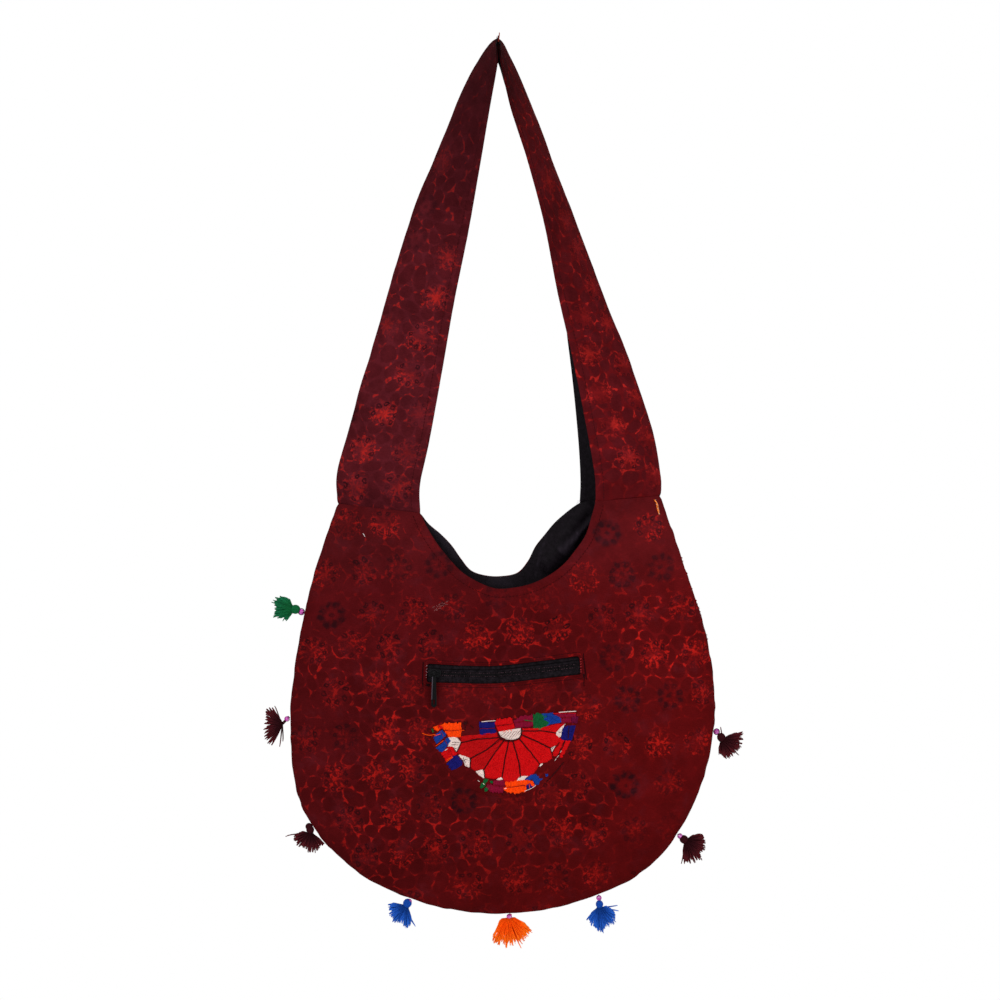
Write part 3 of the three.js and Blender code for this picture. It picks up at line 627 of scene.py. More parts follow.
PRINT_BODY = printed_cotton("printed_cotton_body", lin(80, 11, 15), lin(90, 9, 11), lin(173, 25, 19), lin(65, 7, 9), lin(42, 7, 11), lin(43, 9, 14), 0.03, 0.12, 18.0, 0.015, 0.055)
PRINT_STRAP = printed_cotton("printed_cotton_strap", lin(86, 24, 31), lin(93, 15, 19), lin(169, 33, 29), lin(72, 17, 22), lin(46, 12, 18), lin(48, 14, 20), 0.02, 0.65, 22.0, 0.045)
# the lining's last colour is the painted highlight on its folds
BLACK_LINING = plain_cloth("black_lining", lin(15, 11, 15), lin(27, 21, 27), 0.0006, 0.05, 0.3, rough=0.5, painted_highlight=lin(62, 53, 64))
TAPE_CLOTH = plain_cloth("zip_tape_twill", lin(13, 11, 13), lin(34, 28, 33), 0.0009, 0.04, 0.6, "object")
SILK = thread("embroidery_floss", 0.55, 0.06, 0.14)
SEWING = thread("sewing_thread", 0.7, 0.03, 0.15)
YARN = thread("tassel_yarn", 0.85, 0.03, 0.18)


def nylon():
    m = Mat("zip_nylon")
    at = m.position()
    n = m.noise(at, 700.0, 2.0, 0.6)
    m.set(Base_Color=m.mix(m.ramp(n, 0.35, 0.7), lin(12, 10, 12), lin(30, 24, 28)), Roughness=0.45, Specular_IOR_Level=0.08)
    m.bump(n, 0.15, 0.0001)
    return m.mat


def black_metal():
    m = Mat("zip_metal")
    at = m.position()
    wear_and_highlight = m.ramp(m.noise(at, 320.0, 4.0, 0.65), 0.55, 0.75)
    # the colour added from Col is painted highlight on the pull's edge and the slider's rim
    painted_highlight = m.attribute("Col").outputs["Color"]
    m.set(Base_Color=m.vec("ADD", m.mix(wear_and_highlight, lin(6, 5, 7), lin(19, 17, 20)), painted_highlight), Specular_IOR_Level=0.12, Roughness=m.ramp(wear_and_highlight, 0.0, 1.0, 0.3, 0.46))
    m.bump(m.noise(at, 1500.0, 2.0, 0.6), 0.08, 0.0001)
    return m.mat


def glass():
    m = Mat("bead_glass")
    at = m.position()
    swirl = m.ramp(m.noise(at, 420.0, 3.0, 0.6), 0.35, 0.65)
    edge = m.t.nodes.new("ShaderNodeLayerWeight")
    edge.inputs["Blend"].default_value = 0.5
    shine = m.ramp(edge.outputs["Facing"], 0.35, 0.75, 0.9, 0.0)
    # pale flecks in the glass: partly its own milky swirl, partly painted glints
    milky_and_glints = m.ramp(m.noise(m.vec("ADD", at, (0.31, 0.07, 0.0)), 520.0, 2.0, 0.5), 0.55, 0.64)
    m.set(Base_Color=m.mix(milky_and_glints, m.mix(swirl, lin(146, 14, 120), lin(204, 66, 184)), lin(232, 184, 226)), Roughness=0.16, Specular_IOR_Level=shine)
    return m.mat


NYLON, METAL, GLASS = nylon(), black_metal(), glass()


# ---------------------------------------------------------------- print: where the flowers sit
def nearest_motif(u, v, table, seed):
    """The way to the nearest flower in drawing units with its turn, and how bright, ringed and dark it is there."""
    table = np.asarray(table, float)
    turn = (np.random.default_rng(seed).integers(0, 314, len(table)) + 0.5) / 50
    k, second = np.empty(len(u), int), np.empty(len(u))
    for i in range(0, len(u), 4000):
        d = np.hypot(u[i:i + 4000, None] - table[None, :, 0], v[i:i + 4000, None] - table[None, :, 1]) / PX
        order = np.argpartition(d, 1, axis=1)[:, :2]
        k[i:i + 4000] = d.argmin(1)
        second[i:i + 4000] = np.take_along_axis(d, order, 1).max(1)
    du, dv = (u - table[k, 0]) / PX, (v - table[k, 1]) / PX
    r = np.hypot(du, dv)
    # half way to the next flower the motif has ended, and the place counts as far from any
    far = (r > 18.5) | (second - r < 7)
    kind = table[k, 2:5] * np.where(far, 0.0, 1.0)[:, None]
    return np.stack([du * np.where(far, 60.0, 1.0), dv * np.where(far, 60.0, 1.0), turn[k]], -1), kind


def from_view(px, py, y=0.0):
    f = PX * (3000 + y) / 3000
    return 1.9 + (px - 500) * f, -433.96 + (500 - py) * f


def seen_flowers(rows):
    return [from_view(a, b, -22) + (bright * (0.84 if b > 780 else 1.0), ringed, dark) for a, b, bright, ringed, dark in rows]


# place seen from the front, and how bright, ringed and dark the flower is
FRONT_FLOWERS = seen_flowers((
    (347, 524, .7, .6, 0), (384, 524, .8, .8, 0), (607, 533, 0, .2, 1), (649, 528, .9, .8, .15),
    (324, 574, .55, .7, .1), (363, 571, .35, .9, .25), (397, 568, .4, .5, .45), (439, 565, .1, .2, .8), (584, 578, .75, .3, 0),
    (622, 574, .25, .6, .7), (661, 567, .1, .2, .75), (700, 575, .2, .3, .1),
    (331, 615, .05, .4, 1), (372, 614, .4, .8, .2), (413, 612, .6, .8, .15), (452, 607, .45, .4, .5), (497, 597, .1, .3, .45),
    (540, 598, .3, .1, 0), (602, 618, .45, .7, .4), (639, 614, .5, .8, .3), (682, 608, .85, .5, .35),
    (313, 651, .7, .8, .1), (352, 644, .6, .6, .1), (389, 646, .5, 1, .35), (432, 643, .5, .9, .3), (477, 639, 1, .6, 0),
    (521, 631, 1, .6, .15), (556, 628, .8, 1, .1), (613, 658, .15, .1, .7), (654, 654, .9, .8, .1), (696, 654, 1, .6, 0),
    (335, 692, .6, .9, .05), (378, 686, .6, .8, .1), (410, 689, .45, .4, 0), (456, 693, .35, .1, 0), (491, 691, .3, .1, 0),
    (541, 689, .35, .3, 0), (585, 707, .85, .4, 0), (628, 699, .2, .2, .85), (670, 696, .3, .4, .8), (704, 692, .8, .6, .1),
    (304, 739, .4, .7, .2), (345, 737, .25, .6, .6), (389, 731, .9, .6, 0), (419, 731, .6, .5, 0), (579, 746, .85, 1, .1),
    (616, 744, .7, .9, .1), (660, 743, 1, .7, .05), (699, 742, .85, .4, .05),
    (336, 779, .85, .7, .1), (377, 774, .9, .6, .1), (411, 768, .95, .7, .1), (577, 786, .8, .9, .1), (625, 785, .05, .1, 1),
    (670, 782, .5, .2, .4),
    (349, 821, .7, .7, .35), (395, 813, .95, .8, .1), (428, 806, .6, .8, .3), (464, 801, .1, .1, 1), (510, 802, .35, .5, .1),
    (552, 794, .8, .6, .1), (563, 831, .9, .7, 0), (593, 833, .8, .6, .1), (635, 831, .55, .4, .3), (671, 828, .2, .2, .15),
    (366, 858, .5, .8, .4), (402, 853, .9, .6, 0), (435, 851, .9, .8, 0), (474, 843, .8, .9, .1), (520, 840, .5, .8, .35),
    (468, 886, .8, .7, 0), (516, 881, .8, .6, .1), (556, 878, .8, .5, .4), (596, 875, .9, .4, .1),
    (272, 640, .5, .6, .1), (268, 700, .5, .6, .1), (276, 790, .5, .6, .1), (322, 872, .5, .6, .2), (742, 640, .6, .5, .1),
    (746, 700, .6, .5, .1), (728, 786, .5, .5, .3), (692, 862, .5, .5, .2), (640, 885, .6, .6, .1), (540, 920, .6, .6, .1),
    (482, 926, .6, .6, .1), (410, 905, .6, .6, .1), (610, 915, .6, .6, .1)))


def lattice_flowers(lo, hi, step, seed):
    """Flowers in loose rows, each with an ink of its own."""
    rng = np.random.default_rng(seed)
    rows = []
    for i, x in enumerate(np.arange(lo[0], hi[0], step)):
        for z in np.arange(lo[1], hi[1], step) + (i % 2) * step * 0.2:
            dark = rng.random()
            kind = (0.1, 0.2, 0.9) if dark < 0.2 else (rng.uniform(0.4, 1.0), rng.uniform(0.4, 1.0), rng.uniform(0, 0.3))
            rows.append((x + rng.uniform(-2.5, 2.5), z + rng.uniform(-2.5, 2.5)) + kind)
    return rows


# where the net took ink: place seen from the front, radius, amount
INK_SPOTS = [(370, 548, 40, 0.45), (320, 668, 40, 0.5), (388, 680, 45, 0.55), (510, 657, 58, 0.8), (550, 702, 40, 0.4),
             (650, 638, 46, 0.8), (700, 662, 32, 0.5), (400, 792, 62, 0.7), (392, 850, 58, 0.7), (500, 825, 65, 0.65),
             (578, 802, 36, 0.8), (660, 702, 40, 0.2), (318, 792, 30, 0.4), (562, 850, 40, 0.45), (400, 720, 40, 0.35)]


def front_wear_and_shade(x, z):
    """(ink, tone, warmth) over the front panel; the tone holds a painted shadow under the zip's pull."""
    ink, tone, warm = np.full(np.shape(x), 0.05), np.ones(np.shape(x)), np.zeros(np.shape(x))
    for px, py, r, k in INK_SPOTS:
        cx, cz = from_view(px, py, -22)
        ink = ink + k * np.exp(-((x - cx) ** 2 + (z - cz) ** 2) / (r * PX) ** 2)
    warm = np.clip(0.45 + x / 300.0 - (z + 640) / 380.0, 0, 1)
    tone = tone + 0.06 * np.clip(x / 150, 0, 1) * np.clip((z + 660) / 90, 0, 1) - 0.06 * np.clip((-z - 690) / 80, 0, 1)
    tone = tone + 0.15 * np.clip((x - 90) / 60, 0, 1) * np.clip((z + 640) / 60, 0, 1)
    tone = tone - 0.05 * np.clip((-z - 660) / 40, 0, 1) - 0.05 * np.clip((-z - 735) / 40, 0, 1)
    # darker round the zip
    cx, cz = from_view(512, 656, -22)
    tone = tone - 0.09 * np.exp(-((x - cx) / 100) ** 2 - ((z - cz) / 34) ** 2)
    ink = ink * (1 - 0.22 * np.clip((-z - 690) / 60, 0, 1))
    # painted shadow under the zip's pull
    cx, cz = from_view(431, 687, -22)
    near = np.exp(-((x - cx) / 10) ** 2 - ((z - cz) / 12) ** 2)
    return np.stack([np.clip(ink * (1 - near), 0.0, 1.05), tone - 0.3 * near, warm], -1)


def back_wear(x, z):
    ink = np.clip(0.5 + 0.5 * NOISE[7](x / 75, z / 75), 0, 1)
    return np.stack([ink, np.ones(np.shape(x)), np.full(np.shape(x), 0.5)], -1)


# ---------------------------------------------------------------- body panels
PANEL_S = np.linspace(0, len(BODY) - 1, 271)
PANEL_T = np.concatenate([np.linspace(0, 0.955, 84), np.linspace(0.959, 1, 16)])


def panel_faces(side):
    """The panel's outer face with its seams, its puckers and the groove of its top stitching."""
    s, t = np.meshgrid(PANEL_S, PANEL_T, indexing="ij")
    p = panel(side, s, t)
    n = normals(p, (0, side, 0))
    across, along = lengths(p, 1), lengths(p, 0)
    from_seam, from_mouth = across, across[:, -1:] - across
    from_end = np.minimum(along, along[-1:] - along)
    noise = NOISE[2]
    run = along[:, :1]
    off = -0.75 * np.exp(-(from_seam / 1.8) ** 2)
    off += 0.55 * np.exp(-((from_seam - 8) / 6.0) ** 2) * noise(run / 11 + 3 * side, from_seam / 30)
    mouth_run = along[:, -1:]
    off += -0.42 * np.exp(-((from_mouth - TOPSTITCH) / 1.5) ** 2)
    off += (0.25 + 0.22 * noise(mouth_run / 6.5, 5 + side)) * np.exp(-((from_mouth - 3.6) / 2.6) ** 2)
    off += 0.30 * noise(mouth_run / 8.0, 9 + side) * np.exp(-((from_mouth - 13) / 5.0) ** 2)
    off += -0.8 * np.exp(-(from_end / 1.9) ** 2) + 0.4 * np.exp(-((from_end - 5.5) / 3.2) ** 2)
    off += 0.5 * np.exp(-((from_end - 9) / 7.0) ** 2) * noise(across / 13, 2 + side)
    p = p + n * off[..., None]
    # the hand-sewn seam is not quite even: it bulges a little between its stitches
    way = np.gradient(p[:, 0], axis=0)
    out = unit(np.stack([way[:, 2], np.zeros(len(way)), -way[:, 0]], -1))
    out = out * np.sign((out * (p[:, 0] - (0, 0, -640))).sum(-1).mean())
    bulge = 0.75 * np.clip(0.5 + 0.9 * NOISE[6](run[:, 0] / 8.5, 3.0), 0, 1) * np.clip(from_end[:, 0] / 14 - 0.3, 0, 1)
    for x, z, _ in BEADS:
        bulge = bulge * (1 - np.exp(-((p[:, 0, 0] - x) ** 2 + (p[:, 0, 2] - z) ** 2) / 7.0 ** 2))
    p = p + out[:, None] * (bulge[:, None] * np.exp(-(from_seam / 7.0) ** 2))[..., None]
    n = normals(p, (0, side, 0))
    return p, n, across


def panel_print(p, across):
    """Print coordinates in millimetres: flat on the panel, unrolled round the edge."""
    x, z = p[..., 0], p[..., 2]
    j = int(np.searchsorted(PANEL_T, 0.3))
    flat = np.hypot(x - x[:, j:j + 1], z - z[:, j:j + 1])
    extra = np.maximum((across[:, j:j + 1] - across) - flat, 0)
    extra[:, j:] = 0
    out = unit(np.stack([x[:, 0] - x[:, j], z[:, 0] - z[:, j]], -1))
    return x + out[:, :1] * extra, z + out[:, 1:] * extra


def cloth_piece(name, outer, inner, u, v, material, spots, seed, node, slot, halves=None, bake=True, wear_and_light=None):
    verts, faces, row, col, is_outer = grid_solid(outer, inner)
    uu, vv = u[row, col], v[row, col]
    lo_u, hi_u, lo_v, hi_v = uu.min(), uu.max(), vv.min(), vv.max()
    nu, nv = (uu - lo_u) / (hi_u - lo_u), (vv - lo_v) / (hi_v - lo_v)
    hv = None if halves is None else halves[row]
    corner = np.concatenate([np.asarray(f) for f in faces])
    return make_object(
        name, verts, faces, material, node=node, slot=slot,
        uv=(np.stack([uu, vv], -1) * MM)[corner],
        bake=bake_map(faces, nu, nv, is_outer, hv) if bake else None,
        motif=nearest_motif(uu, vv, spots, seed) if spots is not None else None,
        wear_and_light=None if wear_and_light is None else wear_and_light[row, col])


front_p, front_n, front_across = panel_faces(-1)
back_p, back_n, back_across = panel_faces(1)
fu, fv = panel_print(front_p, front_across)
bu, bv = panel_print(back_p, back_across)
front_cloth = cloth_piece("front_cloth", front_p, front_p - front_n * CLOTH, fu, fv, PRINT_BODY, FRONT_FLOWERS, 5,
                          "front_panel", "printed_cotton", wear_and_light=front_wear_and_shade(fu, fv))
back_cloth = cloth_piece("back_cloth", back_p, back_p - back_n * CLOTH, bu + 311, bv + 173, PRINT_BODY,
                         lattice_flowers((90, -690), (530, -240), 40, 6), 6, "back_panel", "printed_cotton",
                         wear_and_light=back_wear(bu, bv))


# ---------------------------------------------------------------- the front face under the zip and the patch
def invert_front(x, z):
    """The front panel's y at each (x, z)."""
    s0, t0 = np.meshgrid(np.linspace(0.3, 13.7, 70), np.linspace(0.05, 0.95, 30), indexing="ij")
    seeds = panel(-1, s0, t0).reshape(-1, 3)
    s0, t0 = s0.ravel(), t0.ravel()
    s, t = np.empty(x.shape), np.empty(x.shape)
    for k in range(0, len(x), 2000):
        d = (x[k:k + 2000, None] - seeds[None, :, 0]) ** 2 + (z[k:k + 2000, None] - seeds[None, :, 2]) ** 2
        i = d.argmin(1)
        s[k:k + 2000], t[k:k + 2000] = s0[i], t0[i]
    e = 1e-3
    for _ in range(14):
        p = panel(-1, s, t)
        a = (panel(-1, s + e, t) - p) / e
        b = (panel(-1, s, t + e) - p) / e
        det = a[:, 0] * b[:, 2] - b[:, 0] * a[:, 2]
        dx, dz = x - p[:, 0], z - p[:, 2]
        s = np.clip(s + (dx * b[:, 2] - b[:, 0] * dz) / det, 0.05, len(BODY) - 1.05)
        t = np.clip(t + (a[:, 0] * dz - dx * a[:, 2]) / det, 0.02, 0.985)
    return panel(-1, s, t)[:, 1]


FX, FZ, FSTEP = -100.0, -745.0, 1.5
_nx, _nz = 145, 130
_gx, _gz = np.meshgrid(FX + FSTEP * np.arange(_nx), FZ + FSTEP * np.arange(_nz), indexing="ij")
FRONT_Y = invert_front(_gx.ravel(), _gz.ravel()).reshape(_nx, _nz)
FRONT_DX, FRONT_DZ = np.gradient(FRONT_Y, FSTEP)


def sample(table, x, z):
    i, j = (np.asarray(x) - FX) / FSTEP, (np.asarray(z) - FZ) / FSTEP
    i, j = np.clip(i, 0, _nx - 1.001), np.clip(j, 0, _nz - 1.001)
    a, b = i.astype(int), j.astype(int)
    u, v = i - a, j - b
    return ((table[a, b] * (1 - u) + table[a + 1, b] * u) * (1 - v)
            + (table[a, b + 1] * (1 - u) + table[a + 1, b + 1] * u) * v)


def on_front(x, z, lift=0.0):
    """Points that stand off the front face by lift, and the face's normals there."""
    x, z = np.asarray(x, float), np.asarray(z, float)
    n = unit(np.stack([sample(FRONT_DX, x, z), -np.ones_like(x), sample(FRONT_DZ, x, z)], -1))
    p = np.stack([x, sample(FRONT_Y, x, z), z], -1)
    return p + n * np.asarray(lift)[..., None], n


def zip_line(u):
    """Middle line of the zip at u (0 to 1 between the window's ends) and its direction."""
    u = np.asarray(u, float)
    k = np.clip(u, 0, 1)
    p = rows_at(ZIP_LINE, k * 4)
    e = 1e-3
    d = unit(rows_at(ZIP_LINE, np.minimum(k + e, 1) * 4) - rows_at(ZIP_LINE, np.maximum(k - e, 0) * 4))
    span = ZIP_LINE[-1, 0] - ZIP_LINE[0, 0]
    return p + d * ((u - k) * span)[..., None], d


def on_zip(u, v, lift=0.0):
    u, v = np.broadcast_arrays(np.asarray(u, float), np.asarray(v, float))
    p, d = zip_line(u)
    return on_front(p[..., 0] - d[..., 1] * v, p[..., 1] + d[..., 0] * v, lift)


# ---------------------------------------------------------------- zip window
ZIP_LENGTH = 145.0


def outline(grow, corner, step=1.5):
    """The window's outline, grown outwards, with rounded corners, as (u, v) on the zip's line."""
    h, e = ZIP_HALF_HEIGHT + grow, grow / ZIP_LENGTH
    r = max(corner + grow, 0.3)
    pts = []
    for cu, cv, a0 in ((1 + e, -1, -90), (1 + e, 1, 0), (-e, 1, 90), (-e, -1, 180)):
        sx = 1 if cu > 0.5 else -1
        for a in np.linspace(a0, a0 + 90, 5):
            a = math.radians(a)
            pts.append((cu - sx * r / ZIP_LENGTH + r * math.cos(a) / ZIP_LENGTH, cv * (h - r) + r * math.sin(a)))
    pts = np.array(pts + pts[:1])
    d = np.hypot(np.diff(pts[:, 0]) * ZIP_LENGTH, np.diff(pts[:, 1]))
    run = np.concatenate([[0], np.cumsum(d)])
    at = np.linspace(0, run[-1], int(run[-1] / step), endpoint=False)
    u, v = np.interp(at, run, pts[:, 0]), np.interp(at, run, pts[:, 1])
    # the window gapes a little at its ends
    return u, v * (1 + 0.055 * np.abs(2 * np.clip(u, 0, 1) - 1) ** 3)


wu, wv = outline(0.0, 1.6, 2.0)
wp, _ = on_zip(wu, wv)
ring_n = len(wp)
cut_v = np.concatenate([wp + (0, -14, 0), wp + (0, 10, 0)])
cut_f = [list(range(ring_n)), list(range(2 * ring_n - 1, ring_n - 1, -1))]
cut_f += [[k, ring_n + k, ring_n + (k + 1) % ring_n, (k + 1) % ring_n] for k in range(ring_n)]
cutter_me = bpy.data.meshes.new("window_cut")
cutter_me.from_pydata((cut_v * MM).tolist(), [], cut_f)
cutter_me.update()
cutter = bpy.data.objects.new("window_cut", cutter_me)
bpy.context.scene.collection.objects.link(cutter)
mod = front_cloth.modifiers.new("window", "BOOLEAN")
mod.operation, mod.object, mod.solver = "DIFFERENCE", cutter, "EXACT"
bpy.context.view_layer.update()
cut = bpy.data.meshes.new_from_object(front_cloth.evaluated_get(bpy.context.evaluated_depsgraph_get()))
front_cloth.modifiers.clear()
cut.name = "front_cloth_cut"
front_cloth.data = cut
bpy.data.objects.remove(cutter)
co = np.empty(len(cut.vertices) * 3)
cut.vertices.foreach_get("co", co)
co = co.reshape(-1, 3) / MM
cut_motif = nearest_motif(co[:, 0], co[:, 2], FRONT_FLOWERS, 5)
put_vectors(cut, "Motif", cut_motif[0])
put_vectors(cut, "Kind", cut_motif[1])
put_vectors(cut, "WearAndLight", front_wear_and_shade(co[:, 0], co[:, 2]))
front_cloth.data.set_sharp_from_angle(angle=math.radians(55))

# the window's turned edge
lu, lv = outline(0.75, 1.6, 1.5)
lp, ln = on_zip(lu, lv, 0.18)
closed = np.concatenate([lp, lp[:1]])
tan = unit(np.roll(lp, -1, 0) - np.roll(lp, 1, 0))
side_v = np.cross(tan, ln)
sides = 8
ang = 2 * math.pi * np.arange(sides) / sides
swell = 1 + 0.12 * NOISE[3](np.arange(len(lp)) / 5.0, 0.5)
lip = lp[:, None] + (swell[:, None] * 0.7 * np.cos(ang))[..., None] * side_v[:, None] + (swell[:, None] * 0.5 * np.sin(ang))[..., None] * ln[:, None]
idx = np.arange(len(lp) * sides).reshape(len(lp), sides)
nxt = np.roll(idx, -1, 0)
lip_f = np.stack([idx, np.roll(idx, -1, 1), np.roll(nxt, -1, 1), nxt], -1).reshape(-1, 4)
lip_v = lip.reshape(-1, 3)
q = lip_f[0]
if np.dot(np.cross(lip_v[q[1]] - lip_v[q[0]], lip_v[q[3]] - lip_v[q[0]]), lip_v[q[0]] - lp[0]) < 0:
    lip_f = lip_f[:, ::-1]
make_object("window_edge", lip_v, lip_f, PRINT_BODY, slot="printed_cotton",
            uv=(lip_v[:, [0, 2]] * MM)[lip_f.ravel()],
            motif=nearest_motif(lip_v[:, 0], lip_v[:, 2], FRONT_FLOWERS, 5), wear_and_light=front_wear_and_shade(lip_v[:, 0], lip_v[:, 2]))

# ---------------------------------------------------------------- zip tape, coil, slider and pull
LAP = 4.5 / 144.2
for name, v0, v1 in (("upper", 0.25, ZIP_HALF_HEIGHT + 4.4), ("lower", -0.25, -ZIP_HALF_HEIGHT - 4.4)):
    u, v = np.meshgrid(np.linspace(-LAP, 1 + LAP, 110), np.linspace(v0, v1, 40), indexing="ij")
    lift = -(CLOTH + 0.65) + 0.16 * NOISE[4](u * 22, v / 7 + 4)
    inside = np.clip((9.3 - np.abs(v)) / 2.2, 0, 1) * np.clip((u + 0.012) / 0.02, 0, 1) * np.clip((1.012 - u) / 0.02, 0, 1)
    lift += 0.95 * inside * inside * (3 - 2 * inside)
    # the woven rib beside the coil and the groove behind it
    lift += 0.30 * np.exp(-((np.abs(v) - 2.9) / 0.8) ** 2) - np.where(v > 0, 0.7, 0.12) * np.exp(-((np.abs(v) - 4.4 - 0.5 * u) / 0.45) ** 2)
    o, n = on_zip(u, v, lift)
    verts, faces, row, col, is_outer = grid_solid(o, o - n * 0.8, 2)
    make_object("tape_" + name, verts, faces, TAPE_CLOTH, node="zip_tape_" + name, slot="zip_tape")

teeth = Heap()
pitch = 1.22
count = int(ZIP_LENGTH * 0.97 / pitch)
k = np.arange(count)
for row_sign, shift in ((1, 0.0), (-1, 0.5)):
    u = 0.016 + (k + shift) * pitch / ZIP_LENGTH
    along = np.linspace(0, 1, 5)
    v = row_sign * (-0.25 + 2.3 * along)[None, :] * np.ones((count, 1))
    lift = -1.0 + 0.62 * np.sin(np.pi * np.clip(along, 0.06, 0.94))[None, :] * np.ones((count, 1))
    pts, nn = on_zip(u[:, None] + 0.0 * v, v, lift)
    teeth.tubes(pts, nn, 0.40, 0.36, (0, 0, 0, 1), 6)
coil = teeth.build("coil_teeth", NYLON, node="zip_coil", slot="zip_nylon")

# sewing that holds the coil to its tape; its pale tint is painted highlight, for the glints on the coil's teeth
chain = Heap()
rng = np.random.default_rng(11)
for row_sign in (1, -1):
    m = 58
    u = 0.09 + 0.89 * (np.arange(m) + rng.uniform(-0.2, 0.2, m)) / m
    along = np.linspace(-0.5, 0.5, 4)
    v = np.full((m, 4), row_sign * 1.55) + rng.uniform(-0.12, 0.12, (m, 1))
    pts, nn = on_zip(u[:, None] + along[None, :] * 1.15 / ZIP_LENGTH, v, np.array([-0.55, -0.12, -0.12, -0.55])[None, :] * np.ones((m, 1)))
    tint = np.array(lin(104, 76, 86))[None, :] * rng.uniform(0.12, 0.8, (m, 1))
    tint[:, 3] = 1
    chain.tubes(pts, nn, 0.22, 0.2, tint, 5)
# a near-black thread along the upper tape: painted shadow of its fold
u = np.linspace(0.085, 0.985, 60)
pts, nn = on_zip(u, 4.4 + 0.5 * u, -(CLOTH + 0.65) + 0.45)
chain.tubes(pts[None], nn[None], 0.32, 0.25, lin(8, 6, 8), 6)
chain.build("coil_stitches", SEWING, slot="zip_tape")


def plate_mesh(name, loops, depth, bevel):
    """A flat bevelled plate from closed outlines in the plane of x and z; later outlines are holes. In mm."""
    cu = bpy.data.curves.new(name, "CURVE")
    cu.dimensions, cu.fill_mode = "2D", "BOTH"
    cu.extrude, cu.bevel_depth, cu.bevel_resolution = depth / 2 - bevel, bevel, 2
    for pts in loops:
        sp = cu.splines.new("POLY")
        sp.points.add(len(pts) - 1)
        for q, (a, b) in zip(sp.points, pts):
            q.co = (a, b, 0, 1)
        sp.use_cyclic_u = True
    ob = bpy.data.objects.new(name, cu)
    bpy.context.scene.collection.objects.link(ob)
    bpy.context.view_layer.update()
    me = bpy.data.meshes.new_from_object(ob.evaluated_get(bpy.context.evaluated_depsgraph_get()))
    bpy.data.objects.remove(ob)
    v = np.empty(len(me.vertices) * 3)
    me.vertices.foreach_get("co", v)
    v = v.reshape(-1, 3)
    faces = [list(f.vertices) for f in me.polygons]
    bpy.data.meshes.remove(me)
    v = np.stack([v[:, 0], -v[:, 2], v[:, 1]], -1)
    # weld the seams that the curve leaves between its rim and its caps
    key = np.round(v, 4)
    uniq, first, inverse = np.unique(key, axis=0, return_index=True, return_inverse=True)
    inverse = inverse.ravel()
    faces = [[int(inverse[i]) for i in f] for f in faces]
    faces = [f for f in ([a for n, a in enumerate(f) if a != f[n - 1]] for f in faces) if len(f) > 2]
    return v[first], faces


def arc(cx, cy, r, a0, a1, n):
    return [(cx + r * math.cos(math.radians(a)), cy + r * math.sin(math.radians(a))) for a in np.linspace(a0, a1, n)]


PLATE_BACK, PLATE_FRONT = -0.6, -2.0
BAR_Y = PLATE_FRONT - 3.8 + 0.6
lo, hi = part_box("zip_slider")
coil_y = float(lo[1]) / MM + 2.0 + 3.8
metal = Heap()
black = (0, 0, 0, 1)
body_loop = (arc(3.2, 0, 3.55, -78, 78, 9) + [(0.8, 3.62), (-2.6, 3.45)] + arc(-3.6, 0.9, 2.4, 78, 165, 5)
             + [(-6.15, 0.4), (-6.15, -0.4)] + arc(-3.6, -0.9, 2.4, 195, 282, 5) + [(-2.6, -3.45), (0.8, -3.62)])
v, f = plate_mesh("slider_body", [[(a * 0.92, b) for a, b in body_loop]], 1.5, 0.42)
metal.add(v + (0, (PLATE_BACK + PLATE_FRONT) / 2, 0), f, black)
for z in (3.3, -3.3):
    v, f = plate_mesh("slider_flange", [[(-4.1, -0.42), (4.1, -0.42), (4.1, 0.42), (-4.1, 0.42)]], 1.7, 0.2)
    metal.add(v + (0, 0.15, z), f, black)
# the bail: a flat strap bent into an arch
path = np.array([(-4.5, PLATE_FRONT + 0.35), (-4.5, PLATE_FRONT - 2.2), (-4.2, PLATE_FRONT - 2.9), (-3.5, BAR_Y),
                 (-1.8, BAR_Y), (0, BAR_Y), (1.8, BAR_Y), (3.5, BAR_Y), (4.2, PLATE_FRONT - 2.9), (4.5, PLATE_FRONT - 2.2), (4.5, PLATE_FRONT + 0.35)])
path3 = np.stack([path[:, 0], path[:, 1], np.zeros(len(path))], -1)[None]
metal.tubes(path3, (0, 0, 1), 0.55, 0.62, black, 10)
# a lighter ring round the body's rim: painted highlight
rim = np.array([(4.3 * math.cos(a), PLATE_FRONT - 0.02, 2.95 * math.sin(a)) for a in np.linspace(-0.5, 3.6, 26)])
metal.tubes(rim[None], (0, -1, 0.02), 0.26, 0.2, lin(30, 27, 31), 6)
metal.v = [a + np.array([SLIDER_AT[0], coil_y, SLIDER_AT[1]]) for a in metal.v]
metal.build("slider_black", METAL, node="zip_slider", slot="zip_metal")

pull = Heap()
eye = [(2.25 * math.cos(a), 2.25 * math.sin(a)) for a in np.linspace(0, 2 * math.pi, 24, endpoint=False)]
hole = [(1.28 * math.cos(a), 1.28 * math.sin(a)) for a in np.linspace(0, 2 * math.pi, 18, endpoint=False)]
v, f = plate_mesh("pull_eye", [eye, hole], 2.7, 0.3)
v = v[:, [1, 0, 2]]
pull.add(v, [x[::-1] for x in f], black)
tab = [(-1.5, -1.7)] + [(-2.45, -29.55)] + arc(0, -29.5, 2.45, 185, 355, 11) + [(2.45, -29.55), (1.5, -1.7)]
slot_loop = arc(0, -25.5, 0.9, 0, 180, 7) + arc(0, -29.0, 0.9, 180, 360, 7)
v, f = plate_mesh("pull_tab_plate", [tab, slot_loop], 1.0, 0.26)
pull.add(v, f, black)
spine = [(-0.55, -4.0), (0.6, -4.0), (0.7, -19.5), (-0.6, -19.5)]
v, f = plate_mesh("pull_spine", [spine], 0.7, 0.25)
pull.add(v + (0, -0.45, 0), f, black)
